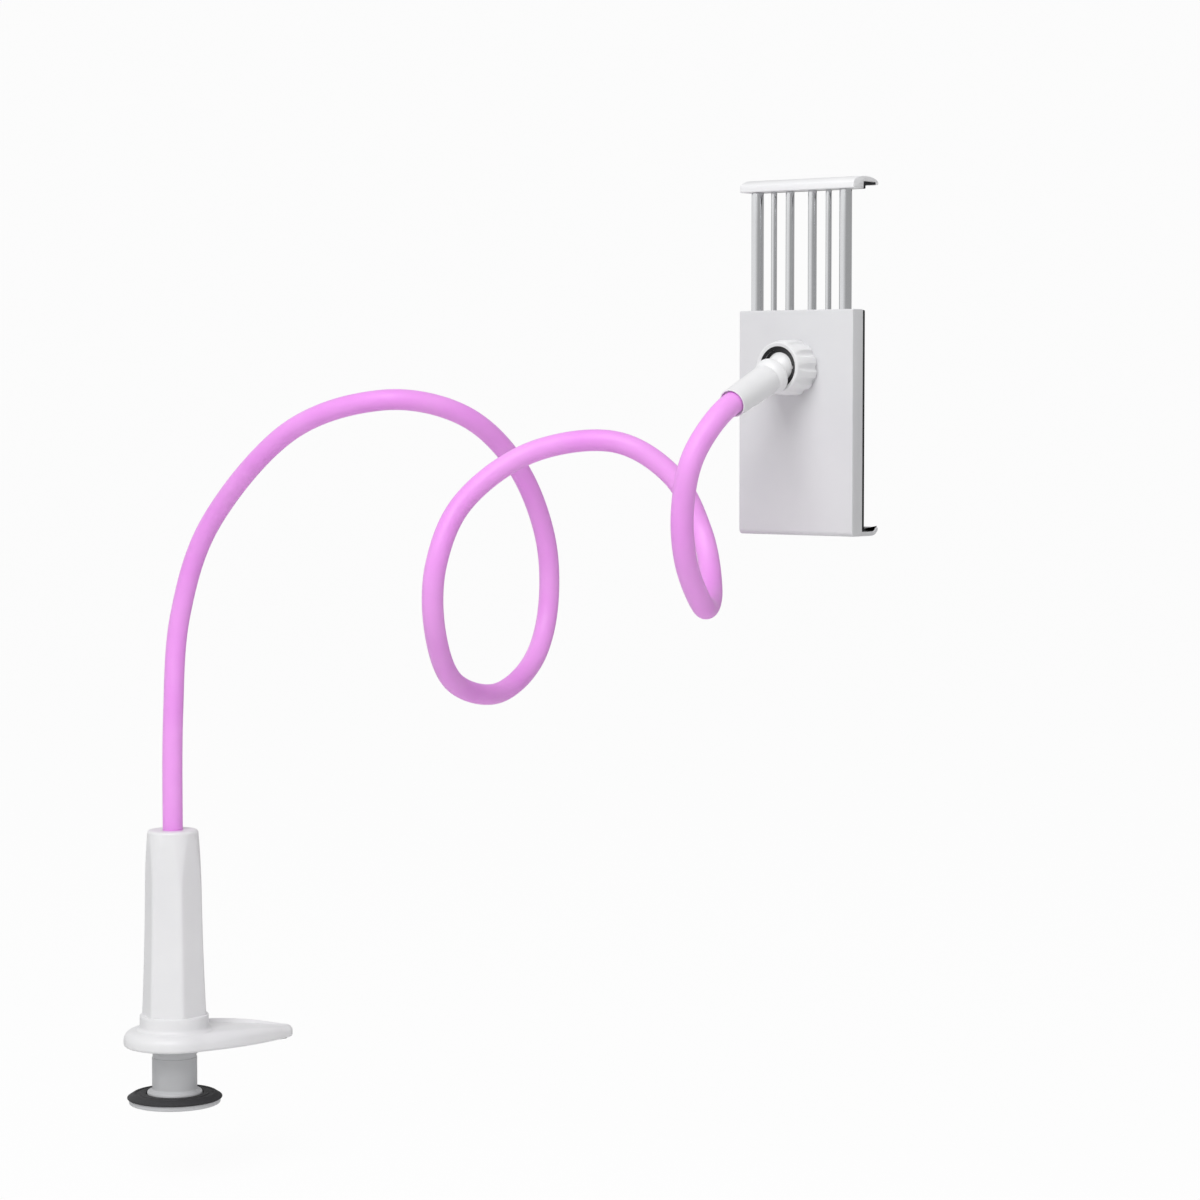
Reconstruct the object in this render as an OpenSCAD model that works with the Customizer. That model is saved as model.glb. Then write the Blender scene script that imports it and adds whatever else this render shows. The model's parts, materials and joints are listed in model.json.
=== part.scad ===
// Flexible tablet holder: desk clamp, bendable arm with two loops, ball joint and sprung cradle.
// Millimetres, +Z up. The origin is on the underside of the clamp's upper pad, which rests on
// the desk. The cradle's back faces -Y and its hooks open along +Y.

/* [Upper clamp jaw] */
// Diameter of the jaw's round end
jaw_round_d = 45.4; // [42:0.2:56]
// Distance from the column axis to the centre of the jaw's tip
jaw_reach = 50; // [42:1:70]
// Diameter of the jaw's tip
jaw_tip_d = 10.6; // [9:0.2:16]
// Thickness of the jaw round the column
jaw_t = 7.4; // [6.4:0.2:10]
// Thickness of the jaw at its tip
jaw_tip_t = 5.4; // [5.2:0.2:7]
// Radius of the jaw's lower edge
jaw_low_r = 1.4; // [0.8:0.1:1.8]
// Radius of the jaw's upper edge
jaw_high_r = 4.8; // [3:0.2:5]
// Direction of the tongue, turned from +X
jaw_yaw = 61; // [-180:1:180]
// Distance from the column axis to the middle of the upper pad
pad_offset = 30; // [26:1:40]
// Distance from the column axis to the start of the upper pad
pad_start = 15; // [14:0.5:20]
// Margin of bare jaw round the upper pad
pad_margin = 2.5; // [1.5:0.1:3.5]
// Thickness of the upper pad
pad_t = 1.6; // [1.2:0.1:2]
// Height that the upper pad stands out of its recess
pad_proud = 0.6; // [0.3:0.1:0.9]

/* [Column] */
// Height of the column above the jaw's underside
column_h = 97.4; // [90:0.2:120]
// Diameter of the column at its foot
column_foot_d = 30.8; // [29:0.2:34]
// Diameter of the column at its top
column_top_d = 22.8; // [20:0.2:26]
// Outward bow of the column's side
column_bow = 0.7; // [0.2:0.1:1.2]
// Radius of the column's top edge
column_edge_r = 1.4; // [0.5:0.1:2.5]
// Radius of the fillet between column and jaw
column_fillet_r = 2.2; // [1:0.1:2.3]
// Number of flats on the column
flat_count = 6; // [3:1:8]
// Width across the flats at their foot
flats_foot_w = 26.2; // [25.4:0.1:26.4]
// Inward bow of the flats
flats_bow = 0.5; // [0.2:0.1:1]
// Height of the plain collar below the flats
collar_h = 14; // [11:0.5:18]

/* [Lower clamp jaw] */
// Outer diameter of the threaded tube
thread_d = 22; // [20:0.2:23]
// Pitch of its thread
thread_pitch = 3; // [2:0.5:5]
// Length of thread that shows below the upper jaw
thread_shown = 5; // [2:0.5:8]
// Length of thread inside the column
thread_inside = 25.4; // [16:0.2:27]
// Distance that the lower jaw can still rise
close_travel = 12; // [4:0.5:13]
// Diameter of the smooth shank
shank_d = 20.2; // [19:0.2:21]
// Bore of the hollow tube
tube_bore_d = 16.4; // [10:0.2:16.8]
// Distance from the upper jaw's underside to the plate's top
plate_drop = 22.9; // [16:0.1:40]
// Diameter of the lower jaw's plate
plate_d = 41; // [36:0.2:52]
// Thickness of the plate
plate_t = 3.4; // [3:0.1:5]
// Diameter of the bead at the shank's foot
bead_d = 24.8; // [24:0.2:28]
// Height of the bead
bead_t = 2.8; // [2:0.1:4]
// Thickness of the lower pad's face
ring_pad_t = 1.4; // [1:0.1:2.4]
// Thickness of the lower pad's rim
ring_pad_rim = 0.6; // [0.5:0.1:1.5]
// Depth of the groove in the lower pad
ring_groove = 0.4; // [0.2:0.1:0.6]

/* [Arm] */
// Outer diameter of the soft sleeve
sleeve_d = 9; // [8:0.1:10]
// Diameter of the bendable core
core_d = 4.5; // [3:0.1:5]
// Depth of the socket in the column's top
arm_socket_depth = 21; // [15:0.5:25]
// Thickness of the floor under the socket
socket_floor_t = 4; // [3:0.5:6]
// Outer diameter of the anchor washer
washer_d = 12; // [10:0.5:15]
// Thickness of the anchor washer
washer_t = 1.2; // [0.8:0.1:2]
// Width across the flats of the anchor nut
anchor_nut_w = 8; // [7:0.1:10]
// Height of the anchor nut
anchor_nut_h = 4; // [3:0.1:6]
// Clearance of the ball and cup where the arm can bend
bend_gap = 0.3; // [0.2:0.05:0.5]

/* [Ball joint] */
// Centre of the ball
ball_centre = [289, 15, 303];
// Diameter of the ball
ball_d = 13.6; // [12:0.1:15]
// Wall of the friction liner
liner_t = 1.14; // [0.8:0.02:1.4]
// Angle from the socket's axis to the edge of its mouth
mouth_angle = 62; // [58:1:63]
// Downward tilt of the neck from the socket's axis
neck_tilt = 22; // [0:1:28]
// Length of the neck from the ball's centre
neck_len = 38; // [34:1:50]
// Diameter of the neck's round end near the ball
neck_ball_d = 14.4; // [12:0.1:15]
// Radius of that round end's edge
neck_round_r = 3.6; // [2:0.1:4]
// Diameter of the cone behind the round end
neck_cone_d = 12.4; // [11.6:0.1:14]
// Diameter of the neck at the arm
neck_arm_d = 11.4; // [11:0.1:14]
// Depth that the sleeve enters the neck
neck_socket_depth = 16; // [10:0.5:18]
// Diameter of the ball's stem
stem_d = 6.4; // [5:0.1:7.5]
// Wall of the socket boss
boss_wall = 1.34; // [1.2:0.02:2]
// Wall of the ring nut behind the scallops
nut_wall = 1.7; // [1.6:0.1:3]
// Height of the nut above the ball's centre
nut_lip_h = 5; // [4.5:0.1:5.2]
// Height of the nut's straight part above its foot
nut_straight_h = 4.4; // [3:0.1:7]
// Radius that the nut loses towards its mouth
nut_taper = 1.2; // [0.4:0.1:1.3]
// Number of scallops on the nut
scallop_count = 12; // [8:1:20]
// Diameter of each scallop
scallop_d = 3.6; // [2:0.1:4]
// Depth of each scallop
scallop_depth = 0.8; // [0.4:0.1:1]

/* [Cradle] */
// Width of the cradle
cradle_w = 55; // [54:0.5:80]
// Height of the cradle's box
cradle_h = 90; // [86:0.5:130]
// Thickness of the cradle's box
box_t = 7.4; // [7.4:0.1:12]
// Distance from the ball's centre up to the box's top
ball_below_top = 23; // [16:0.5:60]
// Distance from the ball's centre to the box's back
ball_to_back = 8; // [8:0.1:11]
// Thickness of the back wall
back_wall = 1.2; // [1:0.1:1.2]
// Thickness of the front plate
front_t = 1; // [0.8:0.1:1]
// Thickness of the side walls
side_wall = 1.6; // [1.4:0.1:1.8]
// Rim of the shell beside the front plate
plate_rim = 0.8; // [0.6:0.1:1]
// Thickness of the top wall that guides the rods
top_wall = 4; // [3.6:0.1:6]
// Thickness of the bottom wall
bottom_wall = 6; // [5.5:0.1:6.3]
// Radius of the box's corners seen from the back
corner_r = 1; // [0.5:0.1:4]
// Radius of the box's upright back edges
back_edge_r = 0.6; // [0.3:0.1:2]
// Radius of the box's lower back edge
heel_edge_r = 2; // [0.5:0.1:3]
// Thickness of the foam on the box
foam_t = 1.8; // [1:0.1:4]
// Thickness of the foam in the hooks
hook_foam_t = 1; // [0.8:0.1:1.2]
// Thickness of the device that the hooks hold
device_t = 7.3; // [6:0.1:12]
// Thickness of the lower hook's floor and curl
floor_t = 1.8; // [1.4:0.1:2.4]
// Outer radius of the lower hook's curl
curl_r = 5; // [4:0.1:7]
// Angle of the curl from the floor up to its tip
curl_angle = 54; // [40:1:80]
// Distance that the lower hook reaches past the upper one
curl_reach = 0.8; // [0:0.1:2]
// Thickness of the hooks' lips
lip_t = 1.5; // [1.2:0.1:2]

/* [Sliding hook] */
// Gap between the box and the sliding hook, as shown
slide_gap = 47.5; // [20:0.5:48]
// Height of the sliding hook
slide_hook_h = 5.1; // [5:0.1:8]
// Height of the sliding hook's upright back face
slide_back_h = 2; // [1:0.1:3]
// Thickness of the sliding hook's roof
roof_t = 2.2; // [1.6:0.1:2.4]
// Depth of the sliding hook's lip below its roof
lip_drop = 1.1; // [0.9:0.1:1.6]
// Distance from the cradle's side to the guide rod's axis
guide_rod_inset = 6.2; // [5.5:0.1:7.5]
// Diameter of the guide rods
guide_rod_d = 5; // [3.5:0.1:5]
// Distance from a guide rod to the spring rod beside it
spring_rod_step = 8.1; // [6.8:0.1:8.6]
// Diameter of the spring rods
spring_rod_d = 2.4; // [1.8:0.1:2.6]
// Distance from a spring rod to the centre rod beside it
centre_rod_step = 7.8; // [6.6:0.1:8.4]
// Diameter of the centre rods
centre_rod_d = 3.5; // [2.5:0.1:4]
// Depth that the rods' thinner ends enter the hook and the crossbar
rod_seat = 3; // [2.4:0.1:3.2]
// Height of the crossbar that joins the rods
crossbar_h = 5; // [4.6:0.1:6]
// Length of each spring as shown
spring_len = 27; // [24:0.5:30]
// Wire of the springs
spring_wire_d = 0.7; // [0.5:0.05:0.8]
// Turns of each spring
spring_turns = 9; // [6:1:12]
// Diameter of the housing screws
screw_d = 1.8; // [1.6:0.1:2.2]
// Diameter of their heads
screw_head_d = 3; // [2.6:0.1:3.2]
// Length of the housing screws
screw_len = 6; // [4:0.5:6.5]

/* [Hidden] */

$fn = 64;
shell_white = [0.93, 0.93, 0.94];
tube_grey = [0.62, 0.63, 0.64];
rubber_dark = [0.16, 0.16, 0.17];
sleeve_pink = [0.93, 0.6, 0.93];
steel = [0.8, 0.81, 0.83];
foam_black = [0.08, 0.08, 0.09];

// Clearances: turning or sliding pairs, fixed pairs, and the overrun of cutting tools
run_gap = 0.06;
fit_gap = 0.03;
cut = 1;
foam_inset = 0.3;

// Clamp levels and places
jaw_z = pad_proud;
column_xy = -pad_offset * [cos(jaw_yaw), sin(jaw_yaw)];
column_top_z = jaw_z + column_h;
flats_z = jaw_z + collar_h;
flats_fade = 0.06;
thread_top_z = jaw_z + thread_inside;
bore_top_z = thread_top_z + close_travel + cut;
socket_z = column_top_z - arm_socket_depth;
cavity_top_z = socket_z - socket_floor_t;
plate_z = jaw_z - plate_drop;
plate_edge_r = 0.8;
bead_fillet_r = 1;
ring_pad_top_z = plate_z + run_gap + ring_pad_t;
ring_pad_r = plate_d / 2 + run_gap + ring_pad_rim;

// Arm: the route's middle points are chosen by hand, and its ends follow the column and the neck
sleeve_r = sleeve_d / 2;
core_r = core_d / 2;
core_gap = 0.1;
bore_r = core_r + core_gap;
cup_r = sleeve_r + bend_gap;
neck_dir = [0, -cos(neck_tilt), -sin(neck_tilt)];
core_lead = 5;
arm_points = [[-17, -23, 150], [-19, -16, 194], [-3, -12, 236], [44, -12, 276], [89, -2, 290],
              [112, 25, 284], [117, 56, 262], [114, 80, 230], [112, 85, 198], [116, 69, 174],
              [120, 39, 162], [127, 2, 170], [139, -24, 194], [145, -30, 222], [150, -18, 248],
              [169, 2, 268], [201, 17, 273], [223, 29, 259], [235, 34, 235], [250, 20, 213],
              [269, -11, 208], [275, -31, 226], [279, -39, 248], [285, -39, 270]];
route = concat([[column_xy.x, column_xy.y, column_top_z]], arm_points,
               [ball_centre + neck_len * neck_dir]);
route_last = len(route) - 1;
// Places along the route where the arm bends, between its two ends
bends = [0, 1, 3, 6, 16, 23, route_last];
rings_per_span = 3;
arm_sides = 14;
cap_steps = 3;

// Ball joint, in a frame whose Z axis leaves the socket's mouth
ball_r = ball_d / 2;
liner_in_r = ball_r + run_gap;
liner_out_r = liner_in_r + liner_t;
seat_r = liner_out_r + run_gap;
boss_r = seat_r + boss_wall;
nut_bore_r = boss_r + run_gap;
nut_r = nut_bore_r + nut_wall;
nut_foot_gap = 0.8;
liner_open_angle = 125;
liner_slot_w = 1.2;
neck_start = 9;
neck_crease = 17;
neck_step = 0.3;
stem_end = 17;
stem_post_r = 2.6;
neck_mouth_r = sleeve_r + 0.6;
neck_mouth_depth = 1.5;

// Cradle, in a frame at the ball's centre with +Y towards the device
box_back = ball_to_back;
box_front = box_back + box_t;
box_top = ball_below_top;
box_bottom = box_top - cradle_h;
cavity_back = box_back + back_wall;
cavity_front = box_front - front_t;
rod_y = (cavity_back + cavity_front) / 2;
device_back = box_front + foam_t;
lip_back = device_back + device_t - fit_gap;
lip_front = lip_back + lip_t;
floor_top = box_bottom + floor_t;
foam_top = floor_top + hook_foam_t + fit_gap;
// Centre of the lower hook's curl
curl_y = lip_front + curl_reach - floor_t / 2 - (curl_r - floor_t / 2) * sin(curl_angle);
curl_z = box_bottom + curl_r;
slide_bottom = box_top + slide_gap;
slide_top = slide_bottom + slide_hook_h;
roof_z = slide_top - roof_t;
guide_rod_x = cradle_w / 2 - guide_rod_inset;
spring_rod_x = guide_rod_x - spring_rod_step;
centre_rod_x = spring_rod_x - centre_rod_step;
rod_end_share = 0.7;
spring_top = box_top - top_wall;
crossbar_top = spring_top - spring_len;
crossbar_w = 2 * guide_rod_x + guide_rod_d + 1.4;
crossbar_t = cavity_front - cavity_back - 0.6;
spring_coil_r = spring_rod_d / 2 + spring_wire_d / 2 + 0.3;
spring_sides = 6;
spring_steps = 12;
plate_bottom = floor_top + fit_gap;
plate_top = box_top - plate_rim;
plate_corner_r = max(corner_r - plate_rim, 0.2);
screw_top_x = (spring_rod_x + centre_rod_x) / 2;
screw_bottom_x = guide_rod_x - guide_rod_d / 2;
screw_top_z = (spring_top + box_top) / 2 - 0.4;
screw_bottom_z = (floor_top + box_bottom + bottom_wall) / 2;
screw_head_h = (screw_head_d - screw_d) / 2;

// The arm's curve passes through every route point, with the column's and the neck's directions at
// its ends
function unit(v) = v / norm(v);
function route_tangent(i) =
    i == 0 ? [0, 0, norm(route[1] - route[0])]
    : i == route_last ? -neck_dir * norm(route[i] - route[i - 1])
    : (route[i + 1] - route[i - 1]) / 2;
function arm_point(u) = let (i = min(floor(u), route_last - 1), t = u - i)
    (2 * pow(t, 3) - 3 * pow(t, 2) + 1) * route[i]
    + (pow(t, 3) - 2 * pow(t, 2) + t) * route_tangent(i)
    + (3 * pow(t, 2) - 2 * pow(t, 3)) * route[i + 1]
    + (pow(t, 3) - pow(t, 2)) * route_tangent(i + 1);
function arm_dir(u) = let (i = min(floor(u), route_last - 1), t = u - i)
    unit(6 * (pow(t, 2) - t) * (route[i] - route[i + 1])
         + (3 * pow(t, 2) - 4 * t + 1) * route_tangent(i)
         + (3 * pow(t, 2) - 2 * t) * route_tangent(i + 1));

// A frame is a point, a direction and a side vector, carried along the curve without twist
function section_frames(k) =
    let (first = bends[k - 1], spans = bends[k] - first, n = spans * rings_per_span,
         us = [for (i = [0 : n]) first + i / rings_per_span],
         dirs = [for (u = us) arm_dir(u)],
         sides = [for (i = 0, s = unit(cross(dirs[0], [1, 0.3, 0])); i <= n;
                       i = i + 1, s = unit(s - (s * dirs[min(i, n)]) * dirs[min(i, n)])) s])
    [for (i = [0 : n]) [arm_point(us[i]), dirs[i], sides[i]]];
function ring(frame, r, shift = 0) =
    [for (k = [0 : arm_sides - 1]) let (a = 360 * k / arm_sides)
        frame[0] + shift * frame[1]
        + r * (cos(a) * frame[2] + sin(a) * cross(frame[1], frame[2]))];
// Rings on a sphere round the frame's point, between two angles from its direction
function cap_rings(frame, r, from, to) =
    [for (i = [0 : cap_steps]) let (a = from + (to - from) * i / cap_steps)
        ring(frame, r * sin(a), r * cos(a))];
function band_faces(rings, i, j, n) =
    [for (k = [0 : n - 1]) let (m = (k + 1) % n)
        each [[i * n + k, j * n + k, j * n + m], [i * n + k, j * n + m, i * n + m]]];

// A skin over rings of n points, closed by flat ends or back to its first ring
module skin(rings, n, looped) {
    count = len(rings);
    bands = [for (i = [0 : count - (looped ? 1 : 2)]) each band_faces(rings, i, (i + 1) % count, n)];
    ends = looped ? [] : [[for (k = [0 : n - 1]) k],
                          [for (k = [n - 1 : -1 : 0]) (count - 1) * n + k]];
    polyhedron(points = [for (r = rings) each r], faces = concat(bands, ends), convexity = 8);
}

// Outline of the jaw seen from above: two circles and their tangents
module teardrop(round_r, tip_r) {
    a = acos((round_r - tip_r) / jaw_reach);
    circle(round_r);
    translate([jaw_reach, 0]) circle(tip_r);
    polygon([[round_r * cos(a), round_r * sin(a)], [round_r * cos(a), -round_r * sin(a)],
             [jaw_reach + tip_r * cos(a), -tip_r * sin(a)],
             [jaw_reach + tip_r * cos(a), tip_r * sin(a)]]);
}

// A round pillow with a small lower edge and a large upper edge
module jaw_puck(r, t, low_r, high_r) {
    rotate_extrude($fn = 56) hull() {
        square([r / 2, t]);
        translate([r - low_r, low_r]) circle(low_r, $fn = 24);
        translate([r - high_r, t - high_r]) intersection() {
            circle(high_r, $fn = 32);
            square(high_r);
        }
    }
}

module jaw_leaf() {
    hull() {
        jaw_puck(jaw_round_d / 2, jaw_t, jaw_low_r, jaw_high_r);
        translate([jaw_reach, 0, 0])
            jaw_puck(jaw_tip_d / 2, jaw_tip_t, jaw_low_r, min(jaw_tip_d, jaw_tip_t) / 2 - 0.1);
    }
}

// Half section of the column: fillet, collar, bowed side and rounded top edge
module column_section() {
    foot_r = column_foot_d / 2;
    top_r = column_top_d / 2;
    side_z = flats_z - 1;
    edge_z = column_top_z - column_edge_r;
    jaw_top = jaw_z + jaw_t;
    steps = 7;
    polygon(concat([[0, jaw_z + 1], [foot_r, jaw_z + 1]],
                   [for (i = [0 : steps]) let (t = i / steps)
                       [foot_r + (top_r - foot_r) * t + column_bow * 4 * t * (1 - t),
                        side_z + (edge_z - side_z) * t]],
                   [[top_r - column_edge_r, column_top_z], [0, column_top_z]]));
    translate([top_r - column_edge_r, edge_z]) circle(column_edge_r);
    difference() {
        translate([foot_r - 0.5, jaw_top - 0.5]) square(column_fillet_r + 0.5);
        translate([foot_r + column_fillet_r, jaw_top + column_fillet_r]) circle(column_fillet_r);
    }
}

// Everything behind one flat, from the ledge up. The flat bows inward and fades out at the top.
module behind_flat() {
    low = [flats_foot_w / 2, flats_z];
    high = [column_top_d / 2 + flats_fade, column_top_z - column_edge_r];
    steps = 5;
    rotate([90, 0, 0]) linear_extrude(2 * column_foot_d, center = true)
        polygon(concat([[-column_foot_d, low.y - cut]], [low - [0, cut]],
                       [for (i = [0 : steps]) let (t = i / steps)
                           low + (high - low) * t - [flats_bow * 4 * t * (1 - t), 0]],
                       [[high.x, column_top_z + 2 * cut], [-column_foot_d, column_top_z + 2 * cut]]));
}

// What the flats take off the round column
module flats_cut() {
    difference() {
        translate([0, 0, flats_z]) cylinder(d = 2 * column_foot_d, h = column_top_z - flats_z + cut);
        intersection_for (k = [0 : flat_count - 1]) rotate([0, 0, 360 * k / flat_count]) behind_flat();
    }
}

module place_clamp() {
    rotate([0, 0, jaw_yaw]) translate([-pad_offset, 0, 0]) children();
}

module clamp_body() {
    color(shell_white) place_clamp() difference() {
        union() {
            translate([0, 0, jaw_z]) jaw_leaf();
            difference() {
                rotate_extrude($fn = 96) column_section();
                flats_cut();
            }
        }
        translate([0, 0, jaw_z - cut])
            cylinder(d = thread_d + 2 * run_gap, h = bore_top_z - jaw_z + cut);
        translate([0, 0, jaw_z - cut]) cylinder(d = tube_bore_d, h = cavity_top_z - jaw_z + cut);
        translate([0, 0, socket_z]) cylinder(d = sleeve_d + 2 * run_gap, h = arm_socket_depth + cut);
        translate([0, 0, cavity_top_z - cut])
            cylinder(d = core_d + 2 * run_gap, h = socket_floor_t + 2 * cut);
        translate([0, 0, -cut]) linear_extrude(pad_t + cut) upper_pad_outline(fit_gap);
    }
}

module upper_pad_outline(grow) {
    intersection() {
        teardrop(jaw_round_d / 2 - pad_margin + grow, jaw_tip_d / 2 - pad_margin + grow);
        translate([pad_start - grow, -jaw_round_d / 2]) square([2 * jaw_reach, jaw_round_d]);
    }
}

module upper_pad() {
    color(rubber_dark) place_clamp() linear_extrude(pad_t) upper_pad_outline(0);
}

// Half section of the lower jaw's outside: thread, shank, bead and plate with round edges
module lower_jaw_section() {
    shank_r = shank_d / 2;
    bead_round = bead_t / 2;
    translate([0, jaw_z - thread_shown]) square([thread_d / 2, thread_shown + thread_inside]);
    translate([0, plate_z]) square([shank_r, plate_drop - thread_shown + 0.01]);
    translate([0, plate_z]) square([bead_d / 2 - bead_round, bead_t]);
    translate([bead_d / 2 - bead_round, plate_z + bead_round]) circle(bead_round);
    difference() {
        translate([shank_r - 0.2, plate_z + bead_t - 0.2]) square(bead_fillet_r + 0.2);
        translate([shank_r + bead_fillet_r, plate_z + bead_t + bead_fillet_r]) circle(bead_fillet_r);
    }
    translate([0, plate_z - plate_t]) square([plate_d / 2 - plate_edge_r, plate_t]);
    translate([0, plate_z - plate_t + plate_edge_r])
        square([plate_d / 2, plate_t - plate_edge_r]);
    translate([plate_d / 2 - plate_edge_r, plate_z - plate_t + plate_edge_r]) circle(plate_edge_r);
}

module lower_jaw() {
    chamfer = 0.8;
    color(tube_grey) place_clamp() difference() {
        rotate_extrude($fn = 96) intersection() {
            lower_jaw_section();
            translate([0, plate_z - plate_t]) square([plate_d, plate_drop + plate_t + thread_inside]);
        }
        translate([0, 0, plate_z]) cylinder(d = tube_bore_d, h = plate_drop + thread_inside + cut);
        translate([0, 0, thread_top_z - chamfer]) difference() {
            cylinder(d = thread_d + 2, h = chamfer + cut);
            cylinder(r1 = thread_d / 2, r2 = thread_d / 2 - chamfer - cut, h = chamfer + cut);
        }
    }
}

// The pad caps the plate, with a groove in its face and a rim round the plate's edge
module lower_pad() {
    inner_r = bead_d / 2 + 0.5;
    middle_r = (inner_r + ring_pad_r) / 2;
    groove_w = (ring_pad_r - inner_r) / 2;
    rim_h = ring_pad_t + run_gap + plate_t / 2;
    color(rubber_dark) place_clamp() rotate_extrude($fn = 96) difference() {
        translate([inner_r, ring_pad_top_z - rim_h]) square([ring_pad_r - inner_r, rim_h]);
        translate([0, ring_pad_top_z - rim_h - cut])
            square([plate_d / 2 + run_gap, rim_h + cut - ring_pad_t]);
        translate([middle_r - groove_w / 2, ring_pad_top_z - ring_groove])
            square([groove_w, ring_groove + cut]);
    }
}

module anchor_washer() {
    color(steel) place_clamp() translate([0, 0, cavity_top_z - washer_t]) difference() {
        cylinder(d = washer_d, h = washer_t);
        translate([0, 0, -cut]) cylinder(d = core_d + 2 * run_gap, h = washer_t + 2 * cut);
    }
}

module anchor_nut() {
    color(steel) place_clamp() translate([0, 0, cavity_top_z - washer_t - anchor_nut_h])
        difference() {
            cylinder(d = anchor_nut_w / cos(30), h = anchor_nut_h, $fn = 6);
            translate([0, 0, -cut]) cylinder(d = core_d + 2 * fit_gap, h = anchor_nut_h + 2 * cut);
        }
}

// One length of sleeve, hollow, from a cup at its start to a ball at its end. The first starts
// flat in the column and the last ends flat in the neck.
module sleeve(k) {
    frames = section_frames(k);
    last = len(frames) - 1;
    first_section = k == 1;
    last_section = k == len(bends) - 1;
    start = first_section
        ? [ring(frames[0], bore_r, -arm_socket_depth), ring(frames[0], sleeve_r, -arm_socket_depth),
           ring(frames[0], sleeve_r)]
        : cap_rings(frames[0], cup_r, asin(bore_r / cup_r), asin(sleeve_r / cup_r));
    end = last_section
        ? [ring(frames[last], sleeve_r), ring(frames[last], sleeve_r, neck_socket_depth),
           ring(frames[last], bore_r, neck_socket_depth)]
        : cap_rings(frames[last], sleeve_r, 90, asin(bore_r / sleeve_r));
    outside = [for (i = [1 : last - 1]) ring(frames[i], sleeve_r)];
    inside = concat(last_section ? [ring(frames[last], bore_r)] : [],
                    [for (i = [last - 1 : -1 : 1]) ring(frames[i], bore_r)],
                    first_section ? [ring(frames[0], bore_r)] : []);
    color(sleeve_pink) skin(concat(start, outside, end, inside), arm_sides, true);
}

// The core inside one length of sleeve. It runs out into the anchor nut and the neck.
module core(k) {
    frames = section_frames(k);
    last = len(frames) - 1;
    start_shift = k == 1 ? cavity_top_z - washer_t - anchor_nut_h - column_top_z - cut : cup_r;
    end_shift = k == len(bends) - 1 ? neck_socket_depth + core_lead
                                    : sqrt(pow(sleeve_r, 2) - pow(core_r, 2));
    rings = concat([ring(frames[0], core_r, start_shift)],
                   k == 1 ? [ring(frames[0], core_r)] : [],
                   [for (i = [1 : last - 1]) ring(frames[i], core_r)],
                   k == len(bends) - 1 ? [ring(frames[last], core_r)] : [],
                   [ring(frames[last], core_r, end_shift)]);
    color(steel) skin(rings, arm_sides, false);
}

module place_cradle() {
    translate(ball_centre) children();
}

// Turns a part made along +Z to the socket's axis, or to the neck's
module along_socket() {
    place_cradle() rotate([90, 0, 0]) children();
}

module along_neck() {
    place_cradle() rotate([90 + neck_tilt, 0, 0]) children();
}

module ball_stud() {
    color(rubber_dark) along_neck() {
        sphere(ball_r, $fn = 96);
        cylinder(d = stem_d, h = neck_start);
        cylinder(r = stem_post_r, h = stem_end);
    }
}

// Half section of the neck: round end, crease and cone
module neck_section() {
    ball_end_r = neck_ball_d / 2;
    cone_r = neck_cone_d / 2;
    round_z = neck_start + neck_round_r;
    translate([0, neck_start]) square([ball_end_r - neck_round_r, neck_round_r]);
    translate([ball_end_r - neck_round_r, round_z]) intersection() {
        circle(neck_round_r);
        translate([0, -neck_round_r]) square(neck_round_r);
    }
    polygon([[0, round_z], [ball_end_r, round_z], [cone_r + neck_step, neck_crease],
             [cone_r, neck_crease], [neck_arm_d / 2, neck_len], [0, neck_len]]);
}

// White neck with a recessed mouth for the sleeve
module neck() {
    sleeve_z = neck_len - neck_socket_depth;
    color(shell_white) along_neck() difference() {
        rotate_extrude($fn = 96) neck_section();
        translate([0, 0, neck_start - cut])
            cylinder(r = stem_post_r + fit_gap, h = stem_end - neck_start + cut);
        translate([0, 0, sleeve_z - core_lead - fit_gap])
            cylinder(r = core_r + fit_gap, h = neck_socket_depth);
        translate([0, 0, sleeve_z - fit_gap])
            cylinder(r = sleeve_r + run_gap, h = neck_socket_depth + cut);
        translate([0, 0, neck_len - neck_mouth_depth])
            cylinder(r = neck_mouth_r, h = neck_mouth_depth + cut);
    }
}

// A wedge of the half plane between two angles from the axis, for turned spherical parts
module angle_wedge(from, to, reach) {
    steps = 6;
    polygon(concat([[0, 0]], [for (i = [0 : steps]) let (a = from + (to - from) * i / steps)
        reach * [sin(a), cos(a)]]));
}

module ball_liner() {
    color(rubber_dark) along_socket() difference() {
        rotate_extrude($fn = 96) intersection() {
            difference() {
                circle(liner_out_r);
                circle(liner_in_r);
            }
            angle_wedge(mouth_angle, liner_open_angle, 2 * liner_out_r);
        }
        translate([0, -liner_slot_w / 2, -seat_r]) cube([seat_r, liner_slot_w, 2 * seat_r]);
    }
}

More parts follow.
